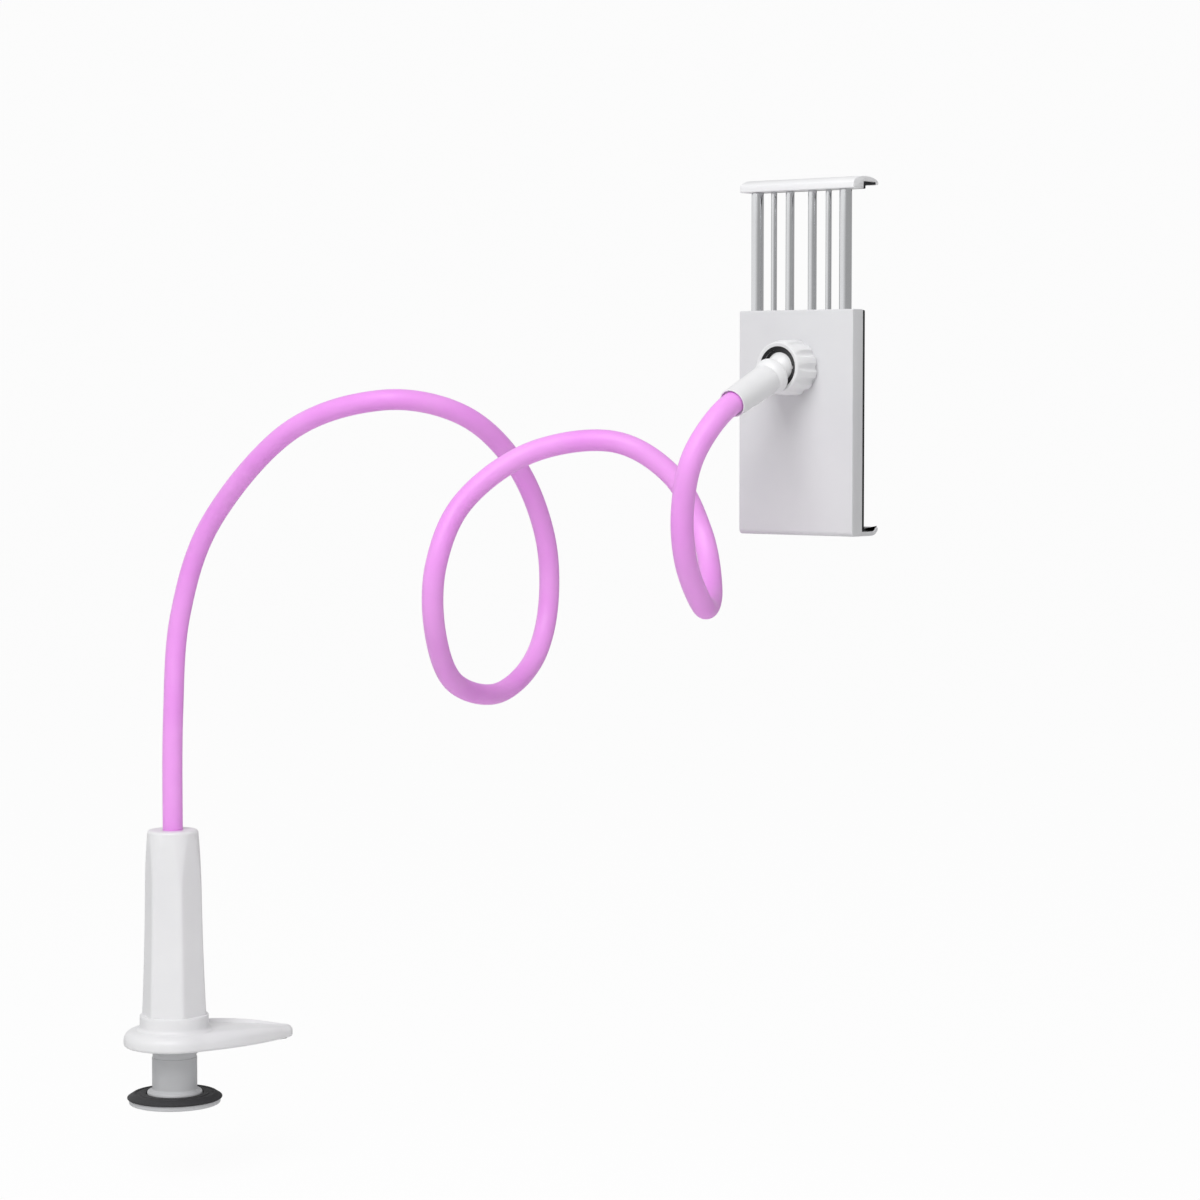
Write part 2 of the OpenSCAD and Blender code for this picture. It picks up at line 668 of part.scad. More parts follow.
// Round nut with a threaded bore below and a spherical seat and open mouth above
module ring_nut() {
    foot_z = -ball_to_back + nut_foot_gap;
    nut_h = nut_lip_h - foot_z;
    mouth_r = nut_lip_h * tan(mouth_angle);
    seat_mouth_z = seat_r * cos(mouth_angle);
    edge = 0.4;
    steps = 6;
    color(shell_white) along_socket() difference() {
        translate([0, 0, foot_z]) intersection() {
            linear_extrude(nut_h) difference() {
                circle(nut_r);
                for (k = [0 : scallop_count - 1]) rotate([0, 0, 360 * k / scallop_count])
                    translate([nut_r + scallop_d / 2 - scallop_depth, 0]) circle(d = scallop_d);
            }
            rotate_extrude($fn = 96)
                polygon(concat([[0, 0], [nut_r - edge, 0], [nut_r, edge]],
                               [for (i = [0 : steps]) let (t = i / steps)
                                   [nut_r - nut_taper * pow(t, 2),
                                    nut_straight_h + (nut_h - nut_straight_h) * t]],
                               [[0, nut_h]]));
        }
        translate([0, 0, foot_z - cut]) cylinder(r = nut_bore_r, h = cut - foot_z + fit_gap);
        sphere(seat_r, $fn = 96);
        translate([0, 0, seat_mouth_z])
            cylinder(r1 = seat_r * sin(mouth_angle), r2 = mouth_r, h = nut_lip_h - seat_mouth_z);
        translate([0, 0, nut_lip_h]) cylinder(r = mouth_r, h = cut);
    }
}

// Rectangle with round corners, from its lowest corner
module round_rect(w, h, r) {
    translate([r, 0]) square([w - 2 * r, h]);
    translate([0, r]) square([w, h - 2 * r]);
    for (x = [r, w - r], y = [r, h - r]) translate([x, y]) circle(r);
}

// Rectangle with its two lower corners round
module round_foot_rect(w, h, r) {
    translate([r, 0]) square([w - 2 * r, h]);
    translate([0, r]) square([w, h - r]);
    for (x = [r, w - r]) translate([x, r]) circle(r);
}

// Extrudes an outline drawn in X and Z along Y, or drawn in Y and Z along X
module extrude_y(from, to) {
    translate([0, to, 0]) rotate([90, 0, 0]) linear_extrude(to - from) children();
}

module extrude_x(w) {
    translate([-w / 2, 0, 0]) rotate([90, 0, 90]) linear_extrude(w) children();
}

// Box with round corners seen from the back and rounded back edges
module cradle_box() {
    intersection() {
        extrude_y(box_back, box_front)
            translate([-cradle_w / 2, box_bottom]) round_rect(cradle_w, cradle_h, corner_r);
        extrude_x(cradle_w) {
            translate([box_back, box_bottom + heel_edge_r]) square([box_t, cradle_h - heel_edge_r]);
            translate([box_back + heel_edge_r, box_bottom])
                square([box_t - heel_edge_r, heel_edge_r + cut]);
            translate([box_back + heel_edge_r, box_bottom + heel_edge_r]) circle(heel_edge_r);
        }
        translate([-cradle_w / 2, box_back, box_bottom]) linear_extrude(cradle_h)
            round_foot_rect(cradle_w, box_t, back_edge_r);
    }
}

// Side view of the lower hook: floor and a curl with a round tip
module lower_hook_section() {
    mid_r = curl_r - floor_t / 2;
    translate([rod_y, box_bottom]) square([curl_y - rod_y, floor_t]);
    translate([curl_y, curl_z]) {
        intersection() {
            difference() {
                circle(curl_r, $fn = 96);
                circle(curl_r - floor_t, $fn = 96);
            }
            polygon([[0, 0], [0, -2 * curl_r], [2 * curl_r, -2 * curl_r],
                     2 * curl_r * [sin(curl_angle), -cos(curl_angle)]]);
        }
        translate(mid_r * [sin(curl_angle), -cos(curl_angle)]) circle(floor_t / 2);
    }
}

module rod_places(x) {
    for (side = [-1, 1]) translate([side * x, rod_y, 0]) children();
}

module screw_places() {
    for (side = [-1, 1]) {
        translate([side * screw_top_x, box_front, screw_top_z]) rotate([90, 0, 0]) children();
        translate([side * screw_bottom_x, box_front, screw_bottom_z]) rotate([90, 0, 0]) children();
    }
}

module rear_shell() {
    cavity_w = cradle_w - 2 * side_wall;
    plate_w = cradle_w - 2 * plate_rim;
    color(shell_white) difference() {
        union() {
            place_cradle() cradle_box();
            place_cradle() extrude_x(cradle_w) lower_hook_section();
            along_socket() translate([0, 0, -ball_to_back]) cylinder(r = boss_r, h = ball_to_back);
            along_socket() translate([0, 0, -ball_to_back])
                cylinder(r = nut_r - scallop_depth, h = nut_foot_gap - run_gap);
        }
        place_cradle() {
            translate([-cavity_w / 2, cavity_back, box_bottom + bottom_wall])
                cube([cavity_w, box_t, cradle_h - top_wall - bottom_wall]);
            extrude_y(cavity_front - fit_gap, box_front + cut)
                translate([-plate_w / 2, plate_bottom - fit_gap])
                    round_rect(plate_w, plate_top - plate_bottom + 2 * fit_gap, plate_corner_r);
            translate([0, 0, spring_top - cut]) {
                rod_places(guide_rod_x) cylinder(d = guide_rod_d + 2 * run_gap, h = top_wall + 2 * cut);
                rod_places(spring_rod_x) cylinder(d = spring_rod_d + 2 * run_gap, h = top_wall + 2 * cut);
                rod_places(centre_rod_x) cylinder(d = centre_rod_d + 2 * run_gap, h = top_wall + 2 * cut);
            }
            screw_places() translate([0, 0, -cut]) cylinder(d = screw_d + 2 * fit_gap,
                                                            h = screw_len + cut + fit_gap);
        }
        along_socket() sphere(seat_r, $fn = 96);
    }
}

module front_plate() {
    plate_w = cradle_w - 2 * plate_rim - 2 * fit_gap;
    color(shell_white) place_cradle() difference() {
        extrude_y(cavity_front, box_front) translate([-plate_w / 2, plate_bottom])
            round_rect(plate_w, plate_top - plate_bottom, plate_corner_r);
        screw_places() translate([0, 0, -cut]) cylinder(d = screw_d + 2 * fit_gap, h = front_t + 2 * cut);
        screw_places() translate([0, 0, -fit_gap])
            cylinder(r1 = screw_head_d / 2 + 2 * fit_gap, r2 = screw_d / 2 + fit_gap,
                     h = screw_head_h + fit_gap);
    }
}

// Four countersunk screws with a cross recess
module housing_screws() {
    recess_w = 0.4;
    recess_h = 0.4;
    color(steel) place_cradle() screw_places() difference() {
        union() {
            cylinder(r1 = screw_head_d / 2, r2 = screw_d / 2, h = screw_head_h);
            cylinder(d = screw_d, h = screw_len);
        }
        for (a = [0, 90]) rotate([0, 0, a])
            translate([-screw_head_d / 4, -recess_w / 2, -cut])
                cube([screw_head_d / 2, recess_w, recess_h + cut]);
    }
}

module back_foam() {
    foam_w = cradle_w - 2 * foam_inset;
    color(foam_black) place_cradle() extrude_y(box_front + fit_gap, device_back)
        translate([-foam_w / 2, foam_top + fit_gap])
            round_rect(foam_w, box_top - foam_inset - foam_top - fit_gap, plate_corner_r);
}

// Foam on the lower hook's floor. It runs out along the curl.
module lower_hook_foam() {
    color(foam_black) place_cradle() extrude_x(cradle_w - 2 * foam_inset) {
        translate([box_front + fit_gap, floor_top + fit_gap])
            square([curl_y - box_front - fit_gap, hook_foam_t]);
        intersection() {
            translate([curl_y, floor_top + fit_gap]) square([curl_r, hook_foam_t]);
            translate([curl_y, curl_z]) circle(curl_r - floor_t - fit_gap, $fn = 96);
        }
    }
}

// Points on part of an ellipse, from one angle to another
function ellipse(centre, radii, from, to) = let (steps = 8)
    [for (i = [0 : steps]) let (a = from + (to - from) * i / steps)
        centre + [radii.x * cos(a), radii.y * sin(a)]];

// Side view of the sliding hook: bar on the rods, arched roof and down-turned lip with a round tip
module sliding_hook_section() {
    crest_y = (box_back + lip_front) / 2;
    half_w = (lip_front - box_back) / 2;
    back_z = slide_bottom + slide_back_h;
    tip_z = roof_z - lip_drop + lip_t / 2;
    polygon(concat([[box_front, roof_z], [box_front, slide_bottom], [box_back, slide_bottom]],
                   ellipse([crest_y, back_z], [half_w, slide_top - back_z], 180, 90),
                   ellipse([crest_y, tip_z], [half_w, slide_top - tip_z], 80, 0),
                   ellipse([lip_front - lip_t / 2, tip_z], [lip_t / 2, lip_t / 2], -20, -180),
                   [[lip_back, roof_z]]));
}

module sliding_hook() {
    color(shell_white) place_cradle() difference() {
        extrude_x(cradle_w) sliding_hook_section();
        translate([0, 0, slide_bottom - cut]) rod_seats(rod_seat + cut);
    }
}

// Foam under the roof and on the bar's face
module upper_hook_foam() {
    color(foam_black) place_cradle() extrude_x(cradle_w - 2 * foam_inset) {
        translate([box_front + fit_gap, roof_z - hook_foam_t])
            square([lip_back - box_front - 2 * fit_gap, hook_foam_t - fit_gap]);
        translate([box_front + fit_gap, slide_bottom])
            square([foam_t - fit_gap, roof_z - slide_bottom - fit_gap]);
    }
}

// Bores for the rods' thinner ends
module rod_seats(h) {
    rod_places(guide_rod_x) cylinder(d = rod_end_share * guide_rod_d + 2 * fit_gap, h = h);
    rod_places(spring_rod_x) cylinder(d = rod_end_share * spring_rod_d + 2 * fit_gap, h = h);
    rod_places(centre_rod_x) cylinder(d = rod_end_share * centre_rod_d + 2 * fit_gap, h = h);
}

module crossbar() {
    color(tube_grey) place_cradle() difference() {
        translate([-crossbar_w / 2, rod_y - crossbar_t / 2, crossbar_top - crossbar_h])
            cube([crossbar_w, crossbar_t, crossbar_h]);
        translate([0, 0, crossbar_top - rod_seat]) rod_seats(rod_seat + cut);
    }
}

// A rod from the crossbar to the sliding hook, with a thinner end in each
module rod(x, d) {
    color(steel) place_cradle() translate([x, rod_y, 0]) {
        translate([0, 0, crossbar_top + fit_gap])
            cylinder(d = d, h = slide_bottom - crossbar_top - 2 * fit_gap);
        translate([0, 0, crossbar_top - rod_seat + fit_gap])
            cylinder(d = rod_end_share * d, h = slide_bottom - crossbar_top + 2 * rod_seat - 2 * fit_gap);
    }
}

// Compression spring round a spring rod, from the crossbar to the top wall
module spring(x) {
    wire_r = spring_wire_d / 2;
    low = crossbar_top + wire_r + run_gap;
    rise = spring_len - spring_wire_d - 2 * run_gap;
    count = spring_turns * spring_steps;
    slope = atan(rise / (spring_turns * 2 * PI * spring_coil_r));
    rings = [for (i = [0 : count]) let (a = 360 * i / spring_steps)
        [for (k = [0 : spring_sides - 1]) let (b = 360 * k / spring_sides, out = wire_r * cos(b),
                                               up = wire_r * sin(b))
            [(spring_coil_r + out) * cos(a) + up * sin(slope) * sin(a),
             (spring_coil_r + out) * sin(a) - up * sin(slope) * cos(a),
             low + rise * i / count + up * cos(slope)]]];
    color(steel) place_cradle() translate([x, rod_y, 0]) skin(rings, spring_sides, false);
}

clamp_body();
upper_pad();
lower_jaw();
lower_pad();
anchor_washer();
anchor_nut();
sleeve(1);  // sleeve_1
sleeve(2);  // sleeve_2
sleeve(3);  // sleeve_3
sleeve(4);  // sleeve_4
sleeve(5);  // sleeve_5
sleeve(6);  // sleeve_6
core(1);  // core_1
core(2);  // core_2
core(3);  // core_3
core(4);  // core_4
core(5);  // core_5
core(6);  // core_6
ball_stud();
neck();
ball_liner();
ring_nut();
rear_shell();
front_plate();
housing_screws();
back_foam();
lower_hook_foam();
sliding_hook();
upper_hook_foam();
crossbar();
rod(-guide_rod_x, guide_rod_d);  // guide_rod_left
rod(guide_rod_x, guide_rod_d);  // guide_rod_right
rod(-spring_rod_x, spring_rod_d);  // spring_rod_left
rod(spring_rod_x, spring_rod_d);  // spring_rod_right
rod(-centre_rod_x, centre_rod_d);  // centre_rod_left
rod(centre_rod_x, centre_rod_d);  // centre_rod_right
spring(-spring_rod_x);  // spring_left
spring(spring_rod_x);  // spring_right
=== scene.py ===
# %% [markdown]
# # A flexible tablet holder
# A desk clamp carries a bendable arm with two loops, and the arm's upper end carries a ball joint
# and a sprung cradle. The imported CAD model is the frame. Sizes below are in millimetres and repeat
# those of the CAD source, and each new piece but the short lengths of sleeve over the bends rides on
# one of the frame's moving bodies.

# %% Load the frame and keep its box
import json
import math

import bmesh
import bpy
from mathutils import Matrix, Vector


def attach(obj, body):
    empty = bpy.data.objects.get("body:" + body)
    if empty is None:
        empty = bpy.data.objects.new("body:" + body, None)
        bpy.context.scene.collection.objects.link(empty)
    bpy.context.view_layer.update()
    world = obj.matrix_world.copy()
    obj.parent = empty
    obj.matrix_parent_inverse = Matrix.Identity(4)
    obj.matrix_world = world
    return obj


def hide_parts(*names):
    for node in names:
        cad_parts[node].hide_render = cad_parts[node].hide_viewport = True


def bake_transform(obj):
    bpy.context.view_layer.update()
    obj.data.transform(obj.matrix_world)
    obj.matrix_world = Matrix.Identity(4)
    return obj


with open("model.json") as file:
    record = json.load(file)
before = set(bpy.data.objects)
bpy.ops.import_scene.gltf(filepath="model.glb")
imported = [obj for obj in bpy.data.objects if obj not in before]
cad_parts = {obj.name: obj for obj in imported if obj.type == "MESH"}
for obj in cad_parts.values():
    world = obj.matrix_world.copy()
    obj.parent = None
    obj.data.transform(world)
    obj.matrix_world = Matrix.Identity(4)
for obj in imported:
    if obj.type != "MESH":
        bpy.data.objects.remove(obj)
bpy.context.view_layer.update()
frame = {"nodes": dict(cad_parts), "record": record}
MM = 0.001

# %% [markdown]
# ## The camera
# The photograph was taken from a little above, with a long lens. The camera's place and the lens
# were worked out from the edges of the cradle and from the round parts of the clamp.

# %% Make the camera
FOCAL_PX, IMAGE_PX = 3300, 1200
VIEW_AZIMUTH, VIEW_ELEVATION = math.radians(38), math.radians(3.45)
CAMERA_PLACE = Vector((1041.4, -1066.8, 289.7))
camera_data = bpy.data.cameras.new("camera")
camera_data.sensor_width = 36
camera_data.sensor_fit = "HORIZONTAL"
camera_data.lens = camera_data.sensor_width * FOCAL_PX / IMAGE_PX
camera_data.clip_start, camera_data.clip_end = 0.05, 60
camera = bpy.data.objects.new("camera", camera_data)
bpy.context.scene.collection.objects.link(camera)
camera.location = CAMERA_PLACE * MM
camera.rotation_euler = (math.pi / 2 - VIEW_ELEVATION, 0, VIEW_AZIMUTH)
bpy.context.scene.camera = camera
print("lens", round(camera_data.lens, 1), "mm")

# %% [markdown]
# ## Two small tools for materials
# A shader is a graph of nodes, but a formula is easier to read. `Value` wraps one socket and
# overloads the arithmetic operators, so that `mask * 2` adds the Math node that does it. `Shader`
# makes every other kind of node from its type, its settings and the values of its sockets.

# %% A socket with arithmetic
class Value:
    def __init__(self, shader, socket):
        self.shader, self.socket = shader, socket

    def math(self, operation, *others):
        return self.shader.node("ShaderNodeMath", {"operation": operation},
                                dict(enumerate((self, *others))))

    def __add__(self, other):
        return self.math("ADD", other)

    def __mul__(self, other):
        return self.math("MULTIPLY", other)

    def __sub__(self, other):
        return self.math("SUBTRACT", other)


# %% A shader that makes its nodes
class Shader:
    def __init__(self, owner):
        """owner is the name of a new material, or a world."""
        if isinstance(owner, str):
            owner = bpy.data.materials.new(owner)
        owner.use_nodes = True
        self.material, self.tree = owner, owner.node_tree
        self.surface = self.tree.nodes.get("Principled BSDF") or self.tree.nodes["Background"]

    def node(self, kind, settings=None, inputs=None, output=0):
        made = self.tree.nodes.new(kind)
        for name, value in (settings or {}).items():
            if name == "stops":
                while len(made.color_ramp.elements) < len(value):
                    made.color_ramp.elements.new(0.5)
                for stop, (place, colour) in zip(made.color_ramp.elements, value):
                    stop.position, stop.color = place, colour
            else:
                setattr(made, name, value)
        for name, value in (inputs or {}).items():
            self.plug(made.inputs[name], value)
        return Value(self, made.outputs[output])

    def plug(self, socket, value):
        if isinstance(value, Value):
            self.tree.links.new(value.socket, socket)
        else:
            socket.default_value = value

    def set(self, **sockets):
        for name, value in sockets.items():
            self.plug(self.surface.inputs[name.replace("_", " ")], value)
        return self.material

    def place(self, scale=(1, 1, 1)):
        """Object coordinates in metres, times scale."""
        where = self.node("ShaderNodeTexCoord", output="Object")
        return self.node("ShaderNodeMapping", {}, {"Vector": where, "Scale": scale})

    def noise(self, scale, detail=2.0, roughness=0.5, where=None):
        return self.node("ShaderNodeTexNoise", {}, {"Vector": where or self.place(),
                         "Scale": scale, "Detail": detail, "Roughness": roughness}, "Fac")

    def ramp(self, value, low, high, start=0.0, end=1.0):
        """value runs from start to end as the result runs from low to high."""
        return self.node("ShaderNodeMapRange", {}, {"Value": value, "From Min": start,
                         "From Max": end, "To Min": low, "To Max": high})

    def blend(self, factor, a, b):
        return self.node("ShaderNodeMix", {"data_type": "RGBA"}, {0: factor, 6: a, 7: b}, 2)

    def bump(self, height, distance, strength=1.0):
        return self.node("ShaderNodeBump", {}, {"Height": height, "Distance": distance,
                         "Strength": strength})


def rgb(r, g, b):
    """A colour as the eye sees it, in 0 to 255, turned into the linear one that nodes use."""
    return tuple(((c / 255 + 0.055) / 1.055) ** 2.4 if c > 10 else c / 255 / 12.92
                 for c in (r, g, b)) + (1.0,)


# %% [markdown]
# ## Materials
# Moulded white plastic is never one flat colour. It is a little glossy, its gloss is broken by a
# very fine moulded grain, and it has faint flow marks where the plastic cooled unevenly.

# %% Moulded plastics
def moulded_plastic(name, colour, shade, roughness, grain):
    shader = Shader(name)
    flow = shader.noise(28, 3, 0.55)
    fine = shader.noise(2600, 2, 0.6)
    return shader.set(
        Base_Color=shader.blend(shader.ramp(flow, 0, 1, 0.3, 0.7), colour, shade),
        Roughness=shader.ramp(flow, roughness - 0.05, roughness + 0.06, 0.3, 0.7),
        Normal=shader.bump(fine, grain),
        IOR=1.47,
    )


FINE_GRAIN, GRAIN = 4e-6, 6e-6  # depth in metres
white_plastic = moulded_plastic("moulded_white", rgb(240, 240, 241), rgb(235, 235, 237), 0.34,
                                FINE_GRAIN)
shell_plastic = moulded_plastic("shell_white", rgb(220, 220, 222), rgb(215, 215, 218), 0.42, GRAIN)
grey_plastic = moulded_plastic("moulded_grey", rgb(206, 207, 209), rgb(200, 201, 203), 0.36, GRAIN)
black_plastic = moulded_plastic("ball_black", rgb(24, 24, 26), rgb(18, 18, 20), 0.4, GRAIN)

# %% [markdown]
# The sleeve is soft tinted rubber. It has a satin surface with a low, uneven swell where the soft
# wall has crept over the metal core, and handling has left it a little glossier in places.

# %% The sleeve, the pads and the foam
SWELL_HEIGHT, GRAIN_HEIGHT = 0.00045, 0.000001  # metres


def soft_sleeve():
    shader = Shader("sleeve_pink")
    swell = shader.noise(95, 2, 0.5)
    creep = shader.noise(22, 2, 0.5)
    fine = shader.noise(3000, 2, 0.6)
    height = swell * SWELL_HEIGHT + fine * GRAIN_HEIGHT
    return shader.set(
        Base_Color=shader.blend(shader.ramp(creep, 0, 1, 0.32, 0.68),
                                rgb(248, 168, 249), rgb(240, 152, 243)),
        Roughness=shader.ramp(swell, 0.36, 0.5, 0.3, 0.7),
        Normal=shader.bump(height, 1.0),
        Subsurface_Weight=0.12,
        Subsurface_Radius=(0.004, 0.002, 0.004),
        Subsurface_Scale=0.5,
        IOR=1.45,
    )


def pad_rubber():
    shader = Shader("pad_rubber")
    grain = shader.noise(1500, 3, 0.6)
    return shader.set(
        Base_Color=shader.blend(grain, rgb(52, 52, 54), rgb(40, 40, 42)),
        Roughness=shader.ramp(grain, 0.62, 0.82),
        Normal=shader.bump(grain, 3e-5),
    )


def cell_foam():
    """Black sheet foam: fine closed cells, cut open on the face."""
    shader = Shader("foam_black")
    cells = shader.node("ShaderNodeTexVoronoi", {"feature": "SMOOTH_F1"},
                        {"Vector": shader.place(), "Scale": 2200.0}, "Distance")
    patches = shader.noise(120, 3, 0.6)
    return shader.set(
        Base_Color=shader.blend(shader.ramp(cells, 0, 1, 0.1, 0.6), rgb(22, 22, 24),
                                rgb(38, 38, 41)),
        Roughness=shader.ramp(patches, 0.86, 0.97),
        Normal=shader.bump(cells, 1.2e-4),
    )


sleeve_rubber, rubber, foam = soft_sleeve(), pad_rubber(), cell_foam()

# %% [markdown]
# The rods are polished steel, drawn through a die, so they have very fine scratches along their
# length. The washers, screws and springs are plain bright steel.

# %% Metals
SCRATCH_DEPTH = 3e-7
ALONG_Z, EVERY_WAY = (1, 1, 0.02), (1, 1, 1)


def drawn_metal(name, colour, roughness, along=ALONG_Z):
    shader = Shader(name)
    lines = shader.noise(9000, 3, 0.6, shader.place(along))
    clouds = shader.noise(60, 3, 0.6)
    return shader.set(
        Base_Color=shader.blend(clouds, colour, tuple(c * 0.9 for c in colour[:3]) + (1.0,)),
        Metallic=1.0,
        Roughness=shader.ramp(lines, roughness - 0.04, roughness + 0.06),
        Normal=shader.bump(lines, SCRATCH_DEPTH),
    )


polished_steel = drawn_metal("polished_steel", rgb(212, 213, 215), 0.12)
plain_steel = drawn_metal("plain_steel", rgb(190, 191, 194), 0.32, EVERY_WAY)
core_metal = drawn_metal("core_metal", rgb(196, 197, 200), 0.38)

# %% Give every CAD node its material
SLOT_MATERIALS = {
    "plastic_white": white_plastic, "plastic_grey": grey_plastic, "sleeve_pink": sleeve_rubber,
    "core_metal": core_metal, "foam_black": foam, "polished_steel": polished_steel,
    "plain_steel": plain_steel, "pad_rubber": rubber, "ball_black": black_plastic,
}
SLOTS = {part["node"]: part["material_slot"] for part in frame["record"]["subparts"]}
for node, thing in frame["nodes"].items():
    for slot in thing.material_slots:
        slot.material = SLOT_MATERIALS[SLOTS[node]]
print(len(SLOTS), "CAD nodes have materials")

# %% [markdown]
# ## Tools for pieces
# A piece starts as a bmesh in millimetres. `finish_piece` puts it in its place in the frame,
# shades it, gives it its material and lets it ride on its body.

# %% Finish a piece
def finish_piece(name, bm, material, body, place=None, replaces=(), sharp=35):
    bmesh.ops.recalc_face_normals(bm, faces=bm.faces)
    bmesh.ops.transform(bm, matrix=(place or Matrix()), verts=bm.verts)
    bmesh.ops.transform(bm, matrix=Matrix.Scale(MM, 4), verts=bm.verts)
    for face in bm.faces:
        face.smooth = True
    for edge in bm.edges:
        if len(edge.link_faces) == 2 and edge.calc_face_angle() > math.radians(sharp):
            edge.smooth = False
    mesh = bpy.data.meshes.new(name)
    bm.to_mesh(mesh)
    bm.free()
    mesh.materials.append(material)
    piece = bpy.data.objects.new(name, mesh)
    bpy.context.scene.collection.objects.link(piece)
    if body:
        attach(piece, body)
    if replaces:
        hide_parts(*replaces)
    print(name, len(mesh.polygons), "faces")
    return piece


# %% [markdown]
# ## The sleeve of the arm
# On the real arm the sleeve is one tube. A ring of vertices is extruded again and again along the
# arm's route, and each new ring is moved on to its next frame. The route is the same list of points
# as in the CAD source. The tube is cut into lengths: a stiff length rides on one body, and a short
# one over each bend stays fixed where it was built and rides on no body.

# %% The arm's route
BALL = Vector((289, 15, 303))
NECK_TILT, NECK_LEN, NECK_SOCKET = math.radians(22), 38, 16
NECK_DIR = Vector((0, -math.cos(NECK_TILT), -math.sin(NECK_TILT)))
JAW_YAW, PAD_OFFSET = math.radians(61), 30
COLUMN_XY = -PAD_OFFSET * Vector((math.cos(JAW_YAW), math.sin(JAW_YAW)))
COLUMN_TOP, ARM_SOCKET = 98, 21
SLEEVE_R, SLEEVE_WALL = 4.5, 1.0
ROUTE = [Vector(p) for p in (
    (COLUMN_XY.x, COLUMN_XY.y, COLUMN_TOP),
    (-17, -23, 150), (-19, -16, 194), (-3, -12, 236), (44, -12, 276), (89, -2, 290),
    (112, 25, 284), (117, 56, 262), (114, 80, 230), (112, 85, 198), (116, 69, 174),
    (120, 39, 162), (127, 2, 170), (139, -24, 194), (145, -30, 222), (150, -18, 248),
    (169, 2, 268), (201, 17, 273), (223, 29, 259), (235, 34, 235), (250, 20, 213),
    (269, -11, 208), (275, -31, 226), (279, -39, 248), (285, -39, 270),
    BALL + NECK_LEN * NECK_DIR)]
ROUTE_LAST = len(ROUTE) - 1
BENDS = {1: ("clamp", "arm_2"), 3: ("arm_2", "arm_3"), 6: ("arm_3", "arm_4"),
         16: ("arm_4", "arm_5"), 23: ("arm_5", "arm_6")}


def route_tangent(i):
    if i == 0:
        return Vector((0, 0, (ROUTE[1] - ROUTE[0]).length))
    if i == ROUTE_LAST:
        return -NECK_DIR * (ROUTE[i] - ROUTE[i - 1]).length
    return (ROUTE[i + 1] - ROUTE[i - 1]) / 2


def arm_point(u):
    """A point of the route. Below 0 and past its end it runs straight on, in millimetres."""
    if u < 0:
        return ROUTE[0] + Vector((0, 0, u))
    if u > ROUTE_LAST:
        return ROUTE[-1] - NECK_DIR * (u - ROUTE_LAST)
    i = min(int(u), ROUTE_LAST - 1)
    t = u - i
    return ((2 * t**3 - 3 * t**2 + 1) * ROUTE[i] + (t**3 - 2 * t**2 + t) * route_tangent(i)
            + (3 * t**2 - 2 * t**3) * ROUTE[i + 1] + (t**3 - t**2) * route_tangent(i + 1))


# %% Even stations along the arm, each with a frame that is carried on without twist
STEP = 2.5
SOCKET_GAP = 0.6  # between the sleeve's end and the bottom of the column's socket
FINE = 60  # points of the fine route between two points of the list
dense = [arm_point(-ARM_SOCKET + SOCKET_GAP)]
dense += [arm_point(i / FINE) for i in range(FINE * ROUTE_LAST + 1)]
dense.append(arm_point(ROUTE_LAST + NECK_SOCKET))
length_at = [0.0]
for a, b in zip(dense, dense[1:]):
    length_at.append(length_at[-1] + (b - a).length)
arm_length = length_at[-1]
bend_at = {i: length_at[1 + FINE * i] for i in BENDS}
count = round(arm_length / STEP)
stations, k = [], 0
for n in range(count + 1):
    want = arm_length * n / count
    while k < len(dense) - 2 and length_at[k + 1] < want:
        k += 1
    share = (want - length_at[k]) / (length_at[k + 1] - length_at[k])
    stations.append(dense[k].lerp(dense[k + 1], share))
frames, side = [], Vector((1, 0.3, 0))
for n, point in enumerate(stations):
    along = (stations[min(n + 1, count)] - stations[max(n - 1, 0)]).normalized()
    side = (side - side.dot(along) * along).normalized()
    frames.append(Matrix((side, along.cross(side), along)).transposed().to_4x4())
    frames[-1].translation = point
print("sleeve", round(arm_length), "mm long,", count, "steps")

# %% Sweep the lengths of sleeve
SLEEVE_SIDES = 32
BEND_REACH = 15  # the length on each side of a bend's centre that bends


def sweep(first, last):
    bm = bmesh.new()
    bmesh.ops.create_circle(bm, segments=SLEEVE_SIDES, radius=SLEEVE_R, matrix=frames[first])
    ring = bm.edges[:]
    for n in range(first, last):
        made = bmesh.ops.extrude_edge_only(bm, edges=ring)["geom"]
        ring = [g for g in made if isinstance(g, bmesh.types.BMEdge)]
        verts = [g for g in made if isinstance(g, bmesh.types.BMVert)]
        bmesh.ops.transform(bm, matrix=frames[n + 1] @ frames[n].inverted(), verts=verts)
    bmesh.ops.recalc_face_normals(bm, faces=bm.faces)
    return bm


def tube(name, first, last, body, replaces=()):
    bm = sweep(first, last)
    bmesh.ops.solidify(bm, geom=bm.faces[:], thickness=SLEEVE_WALL)
    return finish_piece(name, bm, sleeve_rubber, body, replaces=replaces, sharp=60)


cuts = [0]
for i in BENDS:
    middle = bend_at[i] / arm_length * count
    cuts += [round(middle - BEND_REACH / STEP), round(middle + BEND_REACH / STEP)]
cuts.append(count)
arm_bodies = ["clamp"] + [pair[1] for pair in BENDS.values()]
for k, body in enumerate(arm_bodies):
    tube(f"sleeve_length_{k + 1}", cuts[2 * k], cuts[2 * k + 1], body, [f"sleeve_{k + 1}"])
for k, (i, pair) in enumerate(BENDS.items()):
    a, b = cuts[2 * k + 1], cuts[2 * k + 2]
    piece = tube(f"sleeve_bend_{k + 1}", a, b, None)
    stations[a] * MM
    stations[b] * MM
    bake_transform(piece)

